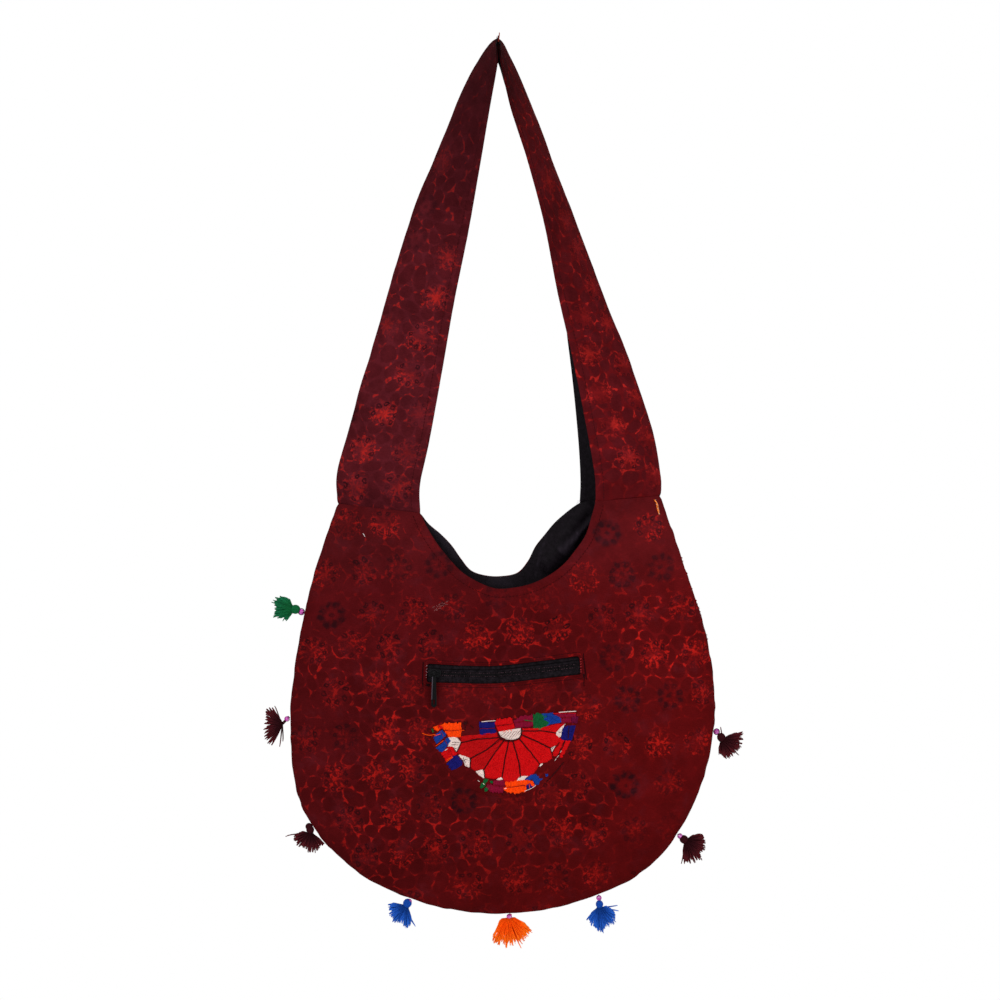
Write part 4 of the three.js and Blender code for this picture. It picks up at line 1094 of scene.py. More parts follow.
# its left edge is a lighter plate: painted highlight
edge = [(-1.6, -3.6), (-1.2, -3.6), (-1.85, -24.6), (-2.25, -24.6)]
v, f = plate_mesh("pull_edge", [edge], 0.5, 0.1)
pull.add(v + (0, -0.42, 0), f, lin(80, 71, 82))
pull.v = [a + np.array([SLIDER_AT[0], coil_y + BAR_Y, SLIDER_AT[1]]) for a in pull.v]
pull.build("pull_tab_black", METAL, body="pull_tab", node="zip_pull", slot="zip_metal")

# ---------------------------------------------------------------- linings
LIN_S = np.concatenate([np.linspace(-0.01, 8, 100), np.linspace(8.06, len(BODY) - 0.99, 120)])
LIN_T = np.concatenate([np.linspace(0, 0.6, 26), np.linspace(0.612, 0.94, 46), np.linspace(0.95, 1, 8)])


LINING_FOLDS = [(94, -441, 60, -482, 3.4, 2.4), (84, -448, 56, -483, 1.6, -1.8), (74, -470, 58, -492, 3.0, 1.6),
                (54.4, -474, 50.6, -496, 1.7, -2.0), (60, -466, 49, -500, 4.0, 2.4), (46.8, -464, 35.3, -508, 1.3, -1.0),
                (-72, -450, -34, -494, 5.0, 1.8), (100, -470, 70, -540, 9.0, 2.0), (20, -520, 10, -600, 12.0, 1.6)]


# painted highlights on the lining's folds: x0 z0 x1 z1 width strength
LINING_HIGHLIGHTS = [(91, -445, 74, -464, 1.2, 0.4), (74, -464, 59, -481.5, 1.5, 0.6), (68.5, -478.5, 62, -483, 2.3, 0.4),
               (46.8, -466, 35.3, -506, 0.7, 0.2), (88, -437, 99, -440, 1.0, 0.2), (-68, -452, -40, -488, 3.0, 0.25), (-4, -510, 8, -511, 6.0, 0.2)]


def lining(side):
    s, t = np.meshgrid(LIN_S, LIN_T, indexing="ij")
    p = panel(side, s, t)
    n = normals(p, (0, side, 0))
    hang = CLOTH + GAP + LINING_SLACK * np.minimum(np.minimum(1, t / 0.2), (1 - t) / 0.25)
    free = np.minimum(np.minimum(1, t / 0.2), (1 - t) / 0.10)
    x, z = p[..., 0], p[..., 2]
    slack = 0.9 * NOISE[5](x / 34 + z / 70, z / 40) + 0.5 * NOISE[6]((x + z) / 16, (x - z) / 44)
    # soft creases that run down from the strap's seams
    crease = fold_rise(LINING_FOLDS, x, z)
    hang = hang + free * (1.0 + slack + crease)
    outer = p - n * hang[..., None]
    name = "front" if side < 0 else "back"
    # painted highlights along the back lining's folds
    wear_and_highlight = np.clip(fold_rise(LINING_HIGHLIGHTS, x, z), 0, 1) * (side > 0)
    return cloth_piece("lining_cloth_" + name, outer, outer - n * LINING, x, z, BLACK_LINING, None, 0,
                       "lining_" + name, "black_lining", bake=False, wear_and_light=np.stack([wear_and_highlight, 0 * wear_and_highlight, 0 * wear_and_highlight], -1))


lining_front, lining_back = lining(-1), lining(1)

# ---------------------------------------------------------------- strap
STRAP_S = np.concatenate([[-0.05], np.linspace(0, 8, 125), np.linspace(8.06, 9.94, 42), np.linspace(10, 18, 125), [18.06]])
STRAP_T = np.concatenate([np.linspace(-1, -0.84, 15), np.linspace(-0.81, 0.81, 45), np.linspace(0.84, 1, 15)])


def strap_face():
    s, t = np.meshgrid(STRAP_S, STRAP_T, indexing="ij")
    p = strap(s, t)
    n = normals(p, (0, 0, 1))
    across, along = lengths(p, 1), lengths(p, 0)
    mid = len(STRAP_T) // 2
    total = across[:, -1:]
    from_edge = np.minimum(across, total - across)
    run = along[:, mid:mid + 1]
    from_end = np.minimum(along, along[-1:] - along)
    sgn = np.where(t < 0, 0.0, 7.0)
    off = -0.42 * np.exp(-((from_edge - TOPSTITCH) / 1.5) ** 2)
    off += (0.22 + 0.25 * NOISE[2](run / 7.0, sgn)) * np.exp(-((from_edge - 3.6) / 2.6) ** 2)
    off += 0.30 * NOISE[2](run / 9.0, sgn + 3) * np.exp(-((from_edge - 13) / 5.0) ** 2)
    body = np.clip((from_edge - 9) / 14, 0, 1)
    off += body * (0.55 * NOISE[3](run / 38, (across - total / 2) / 30) + 0.2 * NOISE[4](run / 12, across / 15))
    off += -0.8 * np.exp(-(from_end / 1.9) ** 2) + 0.4 * np.exp(-((from_end - 5.5) / 3.2) ** 2)
    off += np.where((s < 0) | (s > len(STRAP) - 1), -0.6, 0.0)
    p = p + n * off[..., None]
    n = normals(p, (0, 0, 1))
    return p, n, across, along, from_edge


def strap_wear_and_shade(s, t):
    """The print fades towards the apex, which is darker with dirt and painted shade; the left limb is the cooler one.
    """
    from_apex = np.abs(s - 9)
    left = np.interp(from_apex, [0, 1.2, 1.7, 2.3, 3.1, 3.9, 4.8, 6.6, 7.8], [0.44, 0.43, 0.46, 0.55, 0.67, 0.78, 0.98, 0.98, 0.9])
    right = np.interp(from_apex, [0, 0.6, 1.1, 1.7, 2.4, 3.2, 4.0, 4.8, 5.6, 6.5], [0.44, 0.52, 0.50, 0.52, 0.82, 0.86, 0.74, 0.85, 0.98, 1.06])
    tone = np.where(s < 9, left, right)
    # painted shade along the inner edges near the apex, darkest in the crease of the apex
    inner = np.clip((-t - 0.45) / 0.35, 0, 1)
    tone = tone * (1 - 0.35 * inner * np.exp(-((s - 9) / 0.6) ** 2)) * (1 - 0.25 * inner * np.clip((s - 9) / 0.3, 0, 1) * np.clip((12 - s) / 1.0, 0, 1))
    tone = tone * (1 - 0.86 * np.clip((-t - 0.3) / 0.3, 0, 1) * np.exp(-((s - 9) / 0.3) ** 4))
    tone = tone * (1 - 0.85 * np.clip((-t - 0.955) / 0.02, 0, 1) * np.exp(-((s - 9) / 0.85) ** 6))
    # painted shade at both ends, where the strap meets the body
    tone = tone * (1 - 0.13 * np.clip((0.9 - s) / 0.5, 0, 1) - 0.13 * np.clip((s - 17.1) / 0.5, 0, 1))
    ink = np.interp(s, [0, 1.5, 3.5, 4.6, 5.6, 7.0, 9.0, 10.5, 12.0, 13.4, 14.6, 16.5, 17.4, 18.0],
                    [0.5, 0.6, 0.65, 0.75, 0.55, 0.3, 0.15, 0.75, 0.7, 0.5, 0.85, 0.9, 0.4, 0.25])
    warm = np.clip((s - 8.2) / 2.2, 0, 1)
    return np.stack([ink, tone, warm], -1)


# flowers on the front half of the strap: place seen from the front, and how bright, ringed and dark each is
STRAP_FLOWERS = (
    (421.6, 335.2, .9, .9, .1), (407.8, 373, .75, .9, .15), (385.3, 412.8, 1, 1, 0), (363, 451.4, 1, .8, 0), (356, 487, .6, .9, .1),
    (395.7, 487, .55, .8, .1), (407.8, 452, .35, .6, 0), (435.3, 297, .85, .7, 0), (447.4, 256, .55, .4, 0), (442, 159, .3, .2, 0),
    (387, 323, .45, .2, 0), (419.8, 416, .3, .5, 0), (425, 209, .05, .1, .55), (414, 240, .1, .1, .5),
    (590.5, 352, .8, .5, 0), (601, 395.5, .85, .4, 0), (614.7, 424.8, .85, .4, 0), (630, 456, .9, .8, 0), (637, 397, .5, .6, 0),
    (625, 364.5, .5, .7, 0), (649, 440, .5, .6, 0), (656, 475, .6, .4, 0), (607.8, 323, .4, .7, 0), (585, 316, .4, .6, 0),
    (594, 287, .4, .8, 0), (576.7, 247, .35, .7, 0), (549, 180, .5, .1, 0), (566.4, 219.7, .45, .1, 0))


strap_p, strap_n, strap_across, strap_along, _ = strap_face()
mid = len(STRAP_T) // 2
su = np.broadcast_to(strap_along[:, mid:mid + 1], strap_across.shape)
sv = strap_across - strap_across[:, mid:mid + 1]
seen = PX * (3000 + strap_p[:, :mid, 1]) / 3000
seen_x, seen_y = 500 + (strap_p[:, :mid, 0] - 1.9) / seen, 500 - (strap_p[:, :mid, 2] + 433.96) / seen
strap_flowers = [f for f in lattice_flowers((404, 6), (490, 950), 39, 9)]
for a, b, bright, ringed, dark in STRAP_FLOWERS:
    k = np.unravel_index(np.argmin((seen_x - a) ** 2 + (seen_y - b) ** 2), seen_x.shape)
    strap_flowers.append((sv[k] + 400, su[k], bright, ringed, dark))
strap_cloth = cloth_piece("strap_cloth", strap_p, strap_p - strap_n * CLOTH, sv + 400, su, PRINT_STRAP,
                          strap_flowers, 9, "strap", "printed_cotton",
                          halves=np.linspace(0, 1, len(STRAP_S)), wear_and_light=strap_wear_and_shade(*np.meshgrid(STRAP_S, STRAP_T, indexing="ij")))

s, t = np.meshgrid(np.linspace(-0.01, 18.01, 200), np.linspace(-1, 1, 44), indexing="ij")
# it stops short of the turned edges, except low on the right, where it shows as a strip
t = t * np.where(t < 0, 0.885 + 0.11 * np.exp(-((s - 9) / 0.5) ** 2), 0.885 + 0.12 * np.clip((s - 12.2) / 2.4, 0, 1))
p = strap(s, t)
n = normals(p, (0, 0, 1))
ac, al = lengths(p, 1), lengths(p, 0)
wob = 0.35 * NOISE[5](al / 30, ac / 22) * np.clip((1 - np.abs(t)) / 0.15, 0, 1)
outer = p - n * (CLOTH + GAP + 0.35 + wob)[..., None]
strap_lining = cloth_piece("strap_lining_cloth", outer, outer - n * LINING, ac, al, BLACK_LINING, None, 0, "strap_lining", "black_lining", bake=False)

# ---------------------------------------------------------------- stitching
def stitches_along(path, nrm, pitch, length, radius, lift, heap, colour, seed, closed=False):
    """A row of single stitches on a path; each dips into the cloth at both ends."""
    if closed:
        path, nrm = np.concatenate([path, path[:1]]), np.concatenate([nrm, nrm[:1]])
    run = np.concatenate([[0], np.cumsum(np.linalg.norm(np.diff(path, axis=0), axis=1))])
    rng = np.random.default_rng(seed)
    n = int(run[-1] / pitch)
    start = (np.arange(n) + 0.5) * run[-1] / n - length / 2 + rng.uniform(-0.12, 0.12, n)
    at = start[:, None] + np.linspace(0, length, 5)[None, :]
    pts = np.stack([np.interp(at, run, path[:, i]) for i in range(3)], -1)
    nn = unit(np.stack([np.interp(at, run, nrm[:, i]) for i in range(3)], -1))
    pts = pts + nn * (lift * np.array([-0.9, 0.7, 1.0, 0.7, -0.9]))[None, :, None]
    tint = np.array(colour)[None, :] * rng.uniform(0.75, 1.2, (n, 1))
    tint[:, 3] = 1
    heap.tubes(pts, nn, radius, radius * 0.85, tint, 5)


def line_on_grid(p, n, across, at):
    """The line at a distance `at` from the first column of a face, one point for each row."""
    pts, nn = [], []
    for i in range(len(p)):
        pts.append([np.interp(at[i], across[i], p[i, :, c]) for c in range(3)])
        nn.append([np.interp(at[i], across[i], n[i, :, c]) for c in range(3)])
    return np.array(pts), unit(np.array(nn))


DARK_THREAD = lin(60, 9, 13)
seam_heap = Heap()
for p, n, across, seed in ((front_p, front_n, front_across, 21), (back_p, back_n, back_across, 22)):
    path, nn = line_on_grid(p, n, across, across[:, -1] - TOPSTITCH)
    stitches_along(path[3:-3], nn[3:-3], 3.3, 2.5, 0.27, 0.22, seam_heap, DARK_THREAD, seed)
for k, seed in ((0, 23), (1, 24)):
    at = np.full(len(strap_p), TOPSTITCH) if k == 0 else strap_across[:, -1] - TOPSTITCH
    path, nn = line_on_grid(strap_p, strap_n, strap_across, at)
    stitches_along(path[2:-2], nn[2:-2], 3.3, 2.5, 0.27, 0.22, seam_heap, lin(66, 16, 21), seed)
# round the zip: a row outside the window, and a bar across each end
zu, zv = outline(3.6, 1.2, 1.2)
zp, zn = on_zip(zu, zv)
stitches_along(zp, zn, 2.7, 2.4, 0.26, 0.16, seam_heap, lin(56, 8, 12), 25, closed=True)
for u_end, v_low, v_high, seed in ((-4.2 / ZIP_LENGTH, -11.0, 10.4, 26), (1 + 4.4 / ZIP_LENGTH, -14.0, 10.8, 27)):
    bp, bn = on_zip(np.full(24, u_end), np.linspace(v_low, v_high, 24))
    stitches_along(bp, bn, 2.2, 2.3, 0.42, 0.2, seam_heap, lin(30, 6, 11), seed)
seam_heap.build("top_stitching", SEWING, slot="printed_cotton")

# ---------------------------------------------------------------- embroidered patch
u, v = np.meshgrid(np.sin(np.linspace(-1.43, 1.43, 70)), np.linspace(0, 1, 34), indexing="ij")
a = PATCH_RADIUS * u
b = -PATCH_RADIUS * v * np.sqrt(1 - u * u)
px_ = PATCH_CENTRE[0] + a * math.cos(PATCH_TURN) - b * math.sin(PATCH_TURN)
pz_ = PATCH_CENTRE[1] + a * math.sin(PATCH_TURN) + b * math.cos(PATCH_TURN)
rim_d = np.clip(np.minimum(PATCH_RADIUS - np.hypot(a, b), -b) / 8.0, 0, 1)
top_, n_ = on_front(px_, pz_, 0.2 + 0.6 * rim_d * rim_d * (3 - 2 * rim_d))
low_, _ = on_front(px_, pz_, 0.12)
verts, faces, row, col, is_outer = grid_solid(top_, low_, 1)
corner = np.concatenate([np.asarray(f) for f in faces])
patch_wear = front_wear_and_shade(verts[:, 0], verts[:, 2]) * (0.4, 0.94, 1.0)
make_object("patch_ground", verts, faces, PRINT_BODY, node="embroidered_patch", slot="embroidery", uv=(verts[:, [0, 2]] * MM)[corner],
            motif=nearest_motif(verts[:, 0], verts[:, 2], FRONT_FLOWERS, 5), wear_and_light=patch_wear)

CHART = 0.1052  # one unit of the stitch chart below, mm
CHART_AT = (-78.2, -622.4)
FLOSS = {
    "red": lin(203, 8, 14), "white": lin(236, 215, 207), "grey": lin(120, 100, 100), "orange": lin(250, 70, 3),
    "blue": lin(20, 58, 144), "navy": lin(24, 22, 106), "wine": lin(132, 10, 46), "green": lin(18, 92, 46),
    "dark": lin(52, 8, 12), "purple": lin(104, 8, 52), "brick": lin(126, 10, 16), "brown": lin(128, 92, 88), "deep_red": lin(182, 8, 13),
}
floss = Heap()
floss_rng = np.random.default_rng(31)
PATCH_TOP = 0.78


def lay(starts, ends, colour, width=0.30, height=0.30, lift=PATCH_TOP, variety=0.10):
    """Single stitches between chart points."""
    starts, ends = np.atleast_2d(np.asarray(starts, float)), np.atleast_2d(np.asarray(ends, float))
    n = len(starts)
    k = np.linspace(0, 1, 6)
    at = starts[:, None] + (ends - starts)[:, None] * k[None, :, None]
    x, z = CHART_AT[0] + at[..., 0] * CHART, CHART_AT[1] - at[..., 1] * CHART
    arch = np.array([-0.35, 0.62, 0.95, 0.95, 0.62, -0.35]) * height
    jitter = floss_rng.uniform(-0.05, 0.07, (n, 1))
    p, nn = on_front(x, z, lift + arch[None, :] + jitter)
    tint = np.array(FLOSS[colour])[None, :] * floss_rng.uniform(1 - variety, 1 + variety, (n, 1))
    tint[:, 3] = 1
    floss.tubes(p, nn, width, height, tint, 5)


def fill(colour, poly, angle, pitch=4.6, ragged=3.0, longest=95.0, width=0.30, height=0.30, lift=PATCH_TOP, variety=0.10):
    """Satin stitch over a chart outline; angle is the thread's direction, degrees, 90 is upright."""
    poly = np.asarray(poly, float)
    c, s = math.cos(math.radians(angle)), math.sin(math.radians(angle))
    q = np.stack([poly[:, 0] * c - poly[:, 1] * s, poly[:, 0] * s + poly[:, 1] * c], -1)
    starts, ends = [], []
    for v in np.arange(q[:, 1].min() + pitch / 2, q[:, 1].max(), pitch):
        hits = []
        for a, b in zip(q, np.roll(q, -1, 0)):
            if (a[1] > v) != (b[1] > v):
                hits.append(a[0] + (b[0] - a[0]) * (v - a[1]) / (b[1] - a[1]))
        hits.sort()
        for u0, u1 in zip(hits[::2], hits[1::2]):
            if u1 - u0 < 3:
                continue
            n0, n1 = NOISE[6](v / 13.0, 3.0 + len(poly)), NOISE[7](v / 13.0, 5.0 + len(poly))
            u0, u1 = u0 - ragged * (0.3 + n0) - floss_rng.uniform(0, 2.0), u1 + ragged * (0.3 + n1) + floss_rng.uniform(0, 2.0)
            parts = max(1, int(math.ceil((u1 - u0) / longest)))
            cuts = np.linspace(u0, u1, parts + 1)
            cuts[1:-1] += floss_rng.uniform(-0.3, 0.3, parts - 1) * (u1 - u0) / parts
            for a, b in zip(cuts[:-1], cuts[1:]):
                w = v + floss_rng.uniform(-0.4, 0.4)
                starts.append((a * c + w * s, -a * s + w * c))
                ends.append(((b + 2) * c + w * s, -(b + 2) * s + w * c))
    if starts:
        lay(starts, ends, colour, width, height, lift, variety)


def line(colour, pts, step=17.0, width=0.33, height=0.34, lift=PATCH_TOP + 0.28, overlap=3.0):
    """A stem-stitched line through chart points."""
    pts = np.asarray(pts, float)
    run = np.concatenate([[0], np.cumsum(np.hypot(*np.diff(pts, axis=0).T))])
    n = max(1, int(round(run[-1] / step)))
    at = np.linspace(0, run[-1], n + 1)
    q = np.stack([np.interp(at, run, pts[:, i]) for i in range(2)], -1)
    d = unit(np.diff(q, axis=0))
    lay(q[:-1] - d * overlap, q[1:] + d * overlap, colour, width, height, lift)


def wavy(pts, step=30.0, swing=3.4):
    """The same line drawn by hand."""
    pts = np.asarray(pts, float)
    run = np.concatenate([[0], np.cumsum(np.hypot(*np.diff(pts, axis=0).T))])
    at = np.linspace(0, run[-1], max(2, int(run[-1] / step) + 1))
    q = np.stack([np.interp(at, run, pts[:, i]) for i in range(2)], -1)
    q[1:-1] += floss_rng.uniform(-swing, swing, (len(q) - 2, 2))
    return q


# petals, from the left round to the right: satin stitch along each petal
for poly in (
    [(745, 288), (600, 306), (440, 322), (408, 330), (414, 378), (560, 350), (745, 335)],
    [(748, 342), (560, 356), (416, 388), (372, 462), (398, 490), (440, 502), (500, 520), (640, 442), (765, 358)],
    [(770, 360), (644, 450), (505, 528), (496, 600), (538, 634), (575, 628), (614, 620), (700, 488), (796, 368)],
    [(800, 370), (706, 492), (622, 626), (626, 690), (690, 706), (735, 702), (776, 690), (800, 540), (834, 374)],
    [(840, 376), (808, 540), (784, 690), (800, 728), (850, 736), (905, 722), (940, 690), (925, 560), (876, 370)],
    [(882, 366), (936, 560), (950, 680), (1010, 686), (1064, 656), (1098, 604), (1110, 570), (1020, 450), (930, 352)],
    [(938, 346), (1030, 452), (1116, 566), (1180, 556), (1226, 520), (1216, 444), (1206, 432), (1090, 376), (955, 316)],
    [(960, 308), (1095, 366), (1212, 424), (1268, 400), (1300, 356), (1296, 335), (1262, 302), (1130, 280), (960, 282)],
    [(960, 274), (1130, 272), (1260, 294), (1296, 250), (1340, 212), (1270, 214), (1120, 250), (960, 256)],
):
    c = np.mean(poly, axis=0)
    ang = math.degrees(math.atan2(-(c[1] - 290), c[0] - 848))
    fill("deep_red" if c[0] < 700 else "red", poly, ang, 4.5, 1.5, 120, 0.30, 0.27, variety=0.07)
# white tips
for poly, ang in (
    ([(300, 336), (345, 332), (372, 338), (412, 382), (374, 460), (345, 425), (290, 408), (318, 372)], -12),
    ([(388, 492), (440, 503), (482, 520), (496, 552), (490, 602), (452, 592), (432, 540)], 60),
    ([(546, 640), (600, 624), (620, 650), (618, 700), (580, 676)], 50),
    ([(730, 712), (770, 690), (782, 712), (755, 718)], 35),
    ([(912, 726), (934, 690), (958, 680), (1006, 684), (980, 716)], 55),
    ([(1110, 598), (1124, 574), (1144, 572), (1130, 590)], 40),
    ([(1210, 440), (1262, 402), (1240, 440), (1224, 470)], 40),
    ([(1262, 296), (1300, 252), (1345, 214), (1322, 260), (1308, 330), (1280, 332), (1264, 312)], 70),
):
    fill("white", poly, ang, 5.2, 2.5, 80, 0.30, 0.3, PATCH_TOP + 0.05)
for a, b in (((330, 380), (398, 380)), ((325, 400), (385, 402)), ((350, 430), (380, 440)), ((418, 545), (470, 530)),
             ((430, 512), (452, 560)), ((1290, 290), (1312, 286)), ((1225, 445), (1240, 420))):
    line("dark", [a, b], 40, 0.24, 0.24, PATCH_TOP + 0.35)
# the border's blocks
UP = 88
for colour, poly, ang in (
    ("orange", [(228, 228), (262, 216), (340, 208), (412, 206), (416, 268), (260, 270)], UP),
    ("orange", [(268, 274), (416, 272), (412, 332), (330, 338), (296, 326)], UP),
    ("orange", [(162, 244), (204, 230), (222, 262), (206, 282), (180, 268)], 40),
    ("red", [(205, 228), (238, 232), (250, 254), (222, 262)], 40),
    ("green", [(143, 258), (156, 258), (172, 286), (160, 294)], -50),
    ("blue", [(172, 338), (196, 300), (240, 272), (268, 296), (266, 330), (240, 352), (192, 396), (178, 366)], 28),
    ("blue", [(190, 428), (250, 384), (276, 346), (300, 338), (318, 366), (300, 398), (262, 438), (238, 468), (212, 446)], 28),
    ("red", [(238, 474), (300, 420), (330, 418), (378, 488), (345, 498), (282, 548), (256, 512)], 30),
    ("navy", [(286, 574), (338, 506), (372, 496), (420, 556), (414, 590), (378, 612), (332, 628)], 32),
    ("navy", [(576, 206), (714, 200), (714, 252), (578, 254)], UP),
    ("navy", [(578, 260), (714, 256), (728, 284), (700, 304), (582, 314)], UP),
    ("red", [(716, 206), (738, 176), (800, 170), (870, 166), (880, 214), (730, 234)], UP),
    ("red", [(730, 238), (882, 214), (896, 250), (830, 268), (750, 290)], UP),
    ("wine", [(882, 192), (945, 154), (1050, 134), (1056, 182), (890, 204)], UP),
    ("wine", [(892, 208), (1056, 186), (1058, 234), (960, 244), (904, 248)], UP),
    ("green", [(1059, 134), (1094, 126), (1152, 126), (1180, 152), (1154, 176), (1204, 206), (1180, 230), (1152, 246), (1119, 270), (1092, 252), (1056, 254), (1066, 224), (1047, 198), (1060, 170)], UP - 8),
    ("blue", [(1134, 124), (1228, 116), (1232, 130), (1262, 136), (1304, 166), (1306, 200), (1230, 214), (1178, 236), (1190, 200), (1146, 160)], 25),
    ("wine", [(1236, 128), (1300, 124), (1440, 126), (1442, 150), (1310, 158), (1262, 136)], UP),
    ("wine", [(1308, 164), (1398, 158), (1400, 204), (1312, 208)], UP),
    ("purple", [(1402, 154), (1462, 152), (1452, 206), (1404, 204)], UP),
    ("navy", [(1318, 240), (1370, 236), (1440, 236), (1402, 360), (1360, 356), (1306, 346)], 75),
    ("red", [(1338, 364), (1392, 366), (1352, 440), (1310, 516), (1292, 492)], 8),
    ("red", [(1300, 346), (1334, 364), (1284, 486), (1262, 502), (1230, 500), (1250, 448), (1296, 392)], 8),
    ("blue", [(984, 716), (1040, 670), (1074, 666), (1094, 690), (1130, 716), (1112, 736), (1104, 760), (1080, 756), (1056, 716), (1010, 712)], 50),
    ("orange", [(806, 742), (920, 724), (1000, 716), (1058, 742), (1062, 756), (1020, 744), (990, 764), (818, 778)], UP),
    ("orange", [(792, 790), (818, 784), (990, 768), (1000, 796), (986, 816), (900, 836), (802, 816)], UP),
    ("orange", [(1040, 756), (1066, 752), (1072, 768), (1050, 784)], 50),
    ("navy", [(992, 772), (1020, 748), (1062, 770), (1040, 788), (1000, 796)], 40),
    ("wine", [(702, 722), (800, 724), (806, 768), (700, 766)], UP),
    ("wine", [(640, 786), (648, 762), (700, 770), (800, 772), (786, 832), (690, 826)], UP),
    ("green", [(612, 724), (634, 706), (656, 722), (640, 738), (616, 740)], 60),
    ("green", [(586, 778), (596, 744), (622, 742), (630, 768), (604, 790)], 50),
    ("green", [(670, 726), (692, 724), (696, 744), (676, 748)], 70),
    ("green", [(622, 800), (640, 778), (658, 792), (650, 812), (632, 812)], 60),
    ("blue", [(1166, 668), (1190, 664), (1188, 684), (1174, 684)], 40),
    ("blue", [(1116, 712), (1134, 708), (1132, 720)], 40),
):
    fill(colour, poly, ang, 5.0, 8.0, 70, 0.31, 0.32, variety=0.13)
line("green", [(984, 180), (1020, 186), (1052, 188)], 30, 0.4, 0.4)
# outlines: the petals' dark lines, the half-round in the middle, the border's middle lines
for pts in (
    [(744, 335), (660, 344), (560, 348), (412, 382)], [(756, 352), (640, 446), (500, 522)], [(792, 368), (702, 490), (617, 622)],
    [(838, 374), (804, 540), (778, 690)], [(874, 368), (930, 560), (946, 684)], [(934, 346), (1022, 452), (1112, 570)],
    [(958, 312), (1092, 372), (1210, 430)], [(958, 278), (1130, 274), (1264, 296)],
    [(742, 286), (748, 322), (772, 350), (820, 368), (880, 366), (932, 348), (956, 310), (956, 252)],
    [(412, 382), (376, 462)], [(500, 522), (494, 602)], [(617, 622), (624, 692)], [(946, 684), (938, 696)], [(1212, 432), (1224, 470)],
    [(1344, 362), (1316, 430), (1290, 488)], [(1380, 240), (1372, 340)],
):
    line("dark", wavy(pts), 19, 0.47, 0.38)
# the lines that halve the border's blocks
for pts in ([(262, 272), (340, 276), (420, 270)], [(204, 238), (252, 318), (300, 420), (340, 500)], [(900, 206), (980, 192), (1052, 184)],
            [(820, 782), (900, 776), (986, 766)], [(700, 768), (800, 772)], [(1310, 204), (1400, 206)], [(1296, 160), (1400, 154)],
            [(730, 236), (800, 224), (880, 212)], [(582, 258), (714, 254)]):
    line("brick", wavy(pts), 24, 0.26, 0.3, PATCH_TOP + 0.3)
# the white half-round with its slanting threads
half = [(750, 288), (820, 274), (945, 254), (950, 300), (930, 338), (880, 356), (820, 352), (772, 328)]
fill("white", half, 52, 5.0, 1.0, 200, 0.3, 0.3, PATCH_TOP + 0.16)
for x0 in (775, 800, 825, 850, 875, 900, 925):
    line("brown", [(x0 - 4, 340 - abs(x0 - 850) * 0.25), (x0 + 42, 285 - (x0 - 775) * 0.08)], 90, 0.21, 0.22, PATCH_TOP + 0.5)
lay([(800, 276), (830, 272), (858, 268), (790, 280)], [(812, 284), (840, 280), (866, 276), (800, 288)], "orange", 0.26, 0.26, PATCH_TOP + 0.4)
# old dark stitches in the gap of the border and along its lower right
line("dark", wavy([(1180, 735), (1230, 680), (1290, 612), (1330, 560)]), 20, 0.5, 0.36, PATCH_TOP)
for a, b in (((372, 196), (386, 214)), ((440, 196), (462, 224)), ((466, 190), (442, 222)), ((430, 208), (474, 208)), ((500, 230), (520, 250)), ((450, 240), (446, 268))):
    line("dark", [a, b], 40, 0.4, 0.3, PATCH_TOP)
# single threads over the border
line("white", [(600, 196), (660, 190), (718, 187)], 60, 0.36, 0.34)
line("white", [(1290, 110), (1370, 104), (1440, 100)], 75, 0.4, 0.36)
line("red", [(1240, 120), (1330, 116), (1440, 118)], 75, 0.34, 0.32)
for a, b in (((176, 322), (226, 306)), ((188, 412), (252, 366)), ((280, 554), (340, 512)), ((282, 540), (332, 508)), ((1020, 748), (1028, 788)), ((388, 272), (438, 272))):
    line("orange", [a, b], 60, 0.30, 0.34, PATCH_TOP + 0.4)
for a, b in (((268, 452), (290, 438)), ((296, 416), (320, 404)), ((1302, 470), (1310, 456)), ((1274, 512), (1286, 498)), ((1254, 540), (1264, 526)),
             ((984, 816), (1010, 806)), ((1016, 804), (1046, 790)), ((1050, 788), (1080, 766)), ((800, 796), (818, 790)), ((566, 722), (576, 730)), ((612, 748), (620, 756))):
    line("white", [a, b], 40, 0.26, 0.28, PATCH_TOP + 0.4)
floss.build("patch_embroidery", SILK, slot="embroidery")

# ---------------------------------------------------------------- beads
BEAD_R = 2.6
for i, (x, z, turn) in enumerate(BEADS):
    n_round, n_arc = 22, 13
    open_a = math.acos(0.95 / BEAD_R)
    prof = [(BEAD_R * math.cos(a), BEAD_R * math.sin(a)) for a in np.linspace(-open_a, open_a, n_arc)]
    prof += [(0.95, h) for h in (1.4, 0.0, -1.4)]
    w = np.array([math.cos(math.radians(turn)), 0, math.sin(math.radians(turn))])
    e1 = np.array([0.0, 1.0, 0.0])
    e2 = np.cross(w, e1)
    ang = np.linspace(0, 2 * math.pi, n_round, endpoint=False)
    verts = np.array([[np.array([x, 0, z]) + w * h + (e1 * math.cos(a) + e2 * math.sin(a)) * r for a in ang] for r, h in prof]).reshape(-1, 3)
    idx = np.arange(len(verts)).reshape(len(prof), n_round)
    nxt = np.roll(idx, -1, 0)
    faces = np.stack([idx, np.roll(idx, -1, 1), np.roll(nxt, -1, 1), nxt], -1).reshape(-1, 4)
    q = faces[(n_arc // 2) * n_round]
    mid_pt = verts[q].mean(0) - np.array([x, 0, z])
    if np.dot(np.cross(verts[q[1]] - verts[q[0]], verts[q[3]] - verts[q[0]]), mid_pt) < 0:
        faces = faces[:, ::-1]
    make_object(f"bead_glass_{i + 1}", verts, faces, GLASS, node=f"bead_{i + 1}", slot="bead_glass")

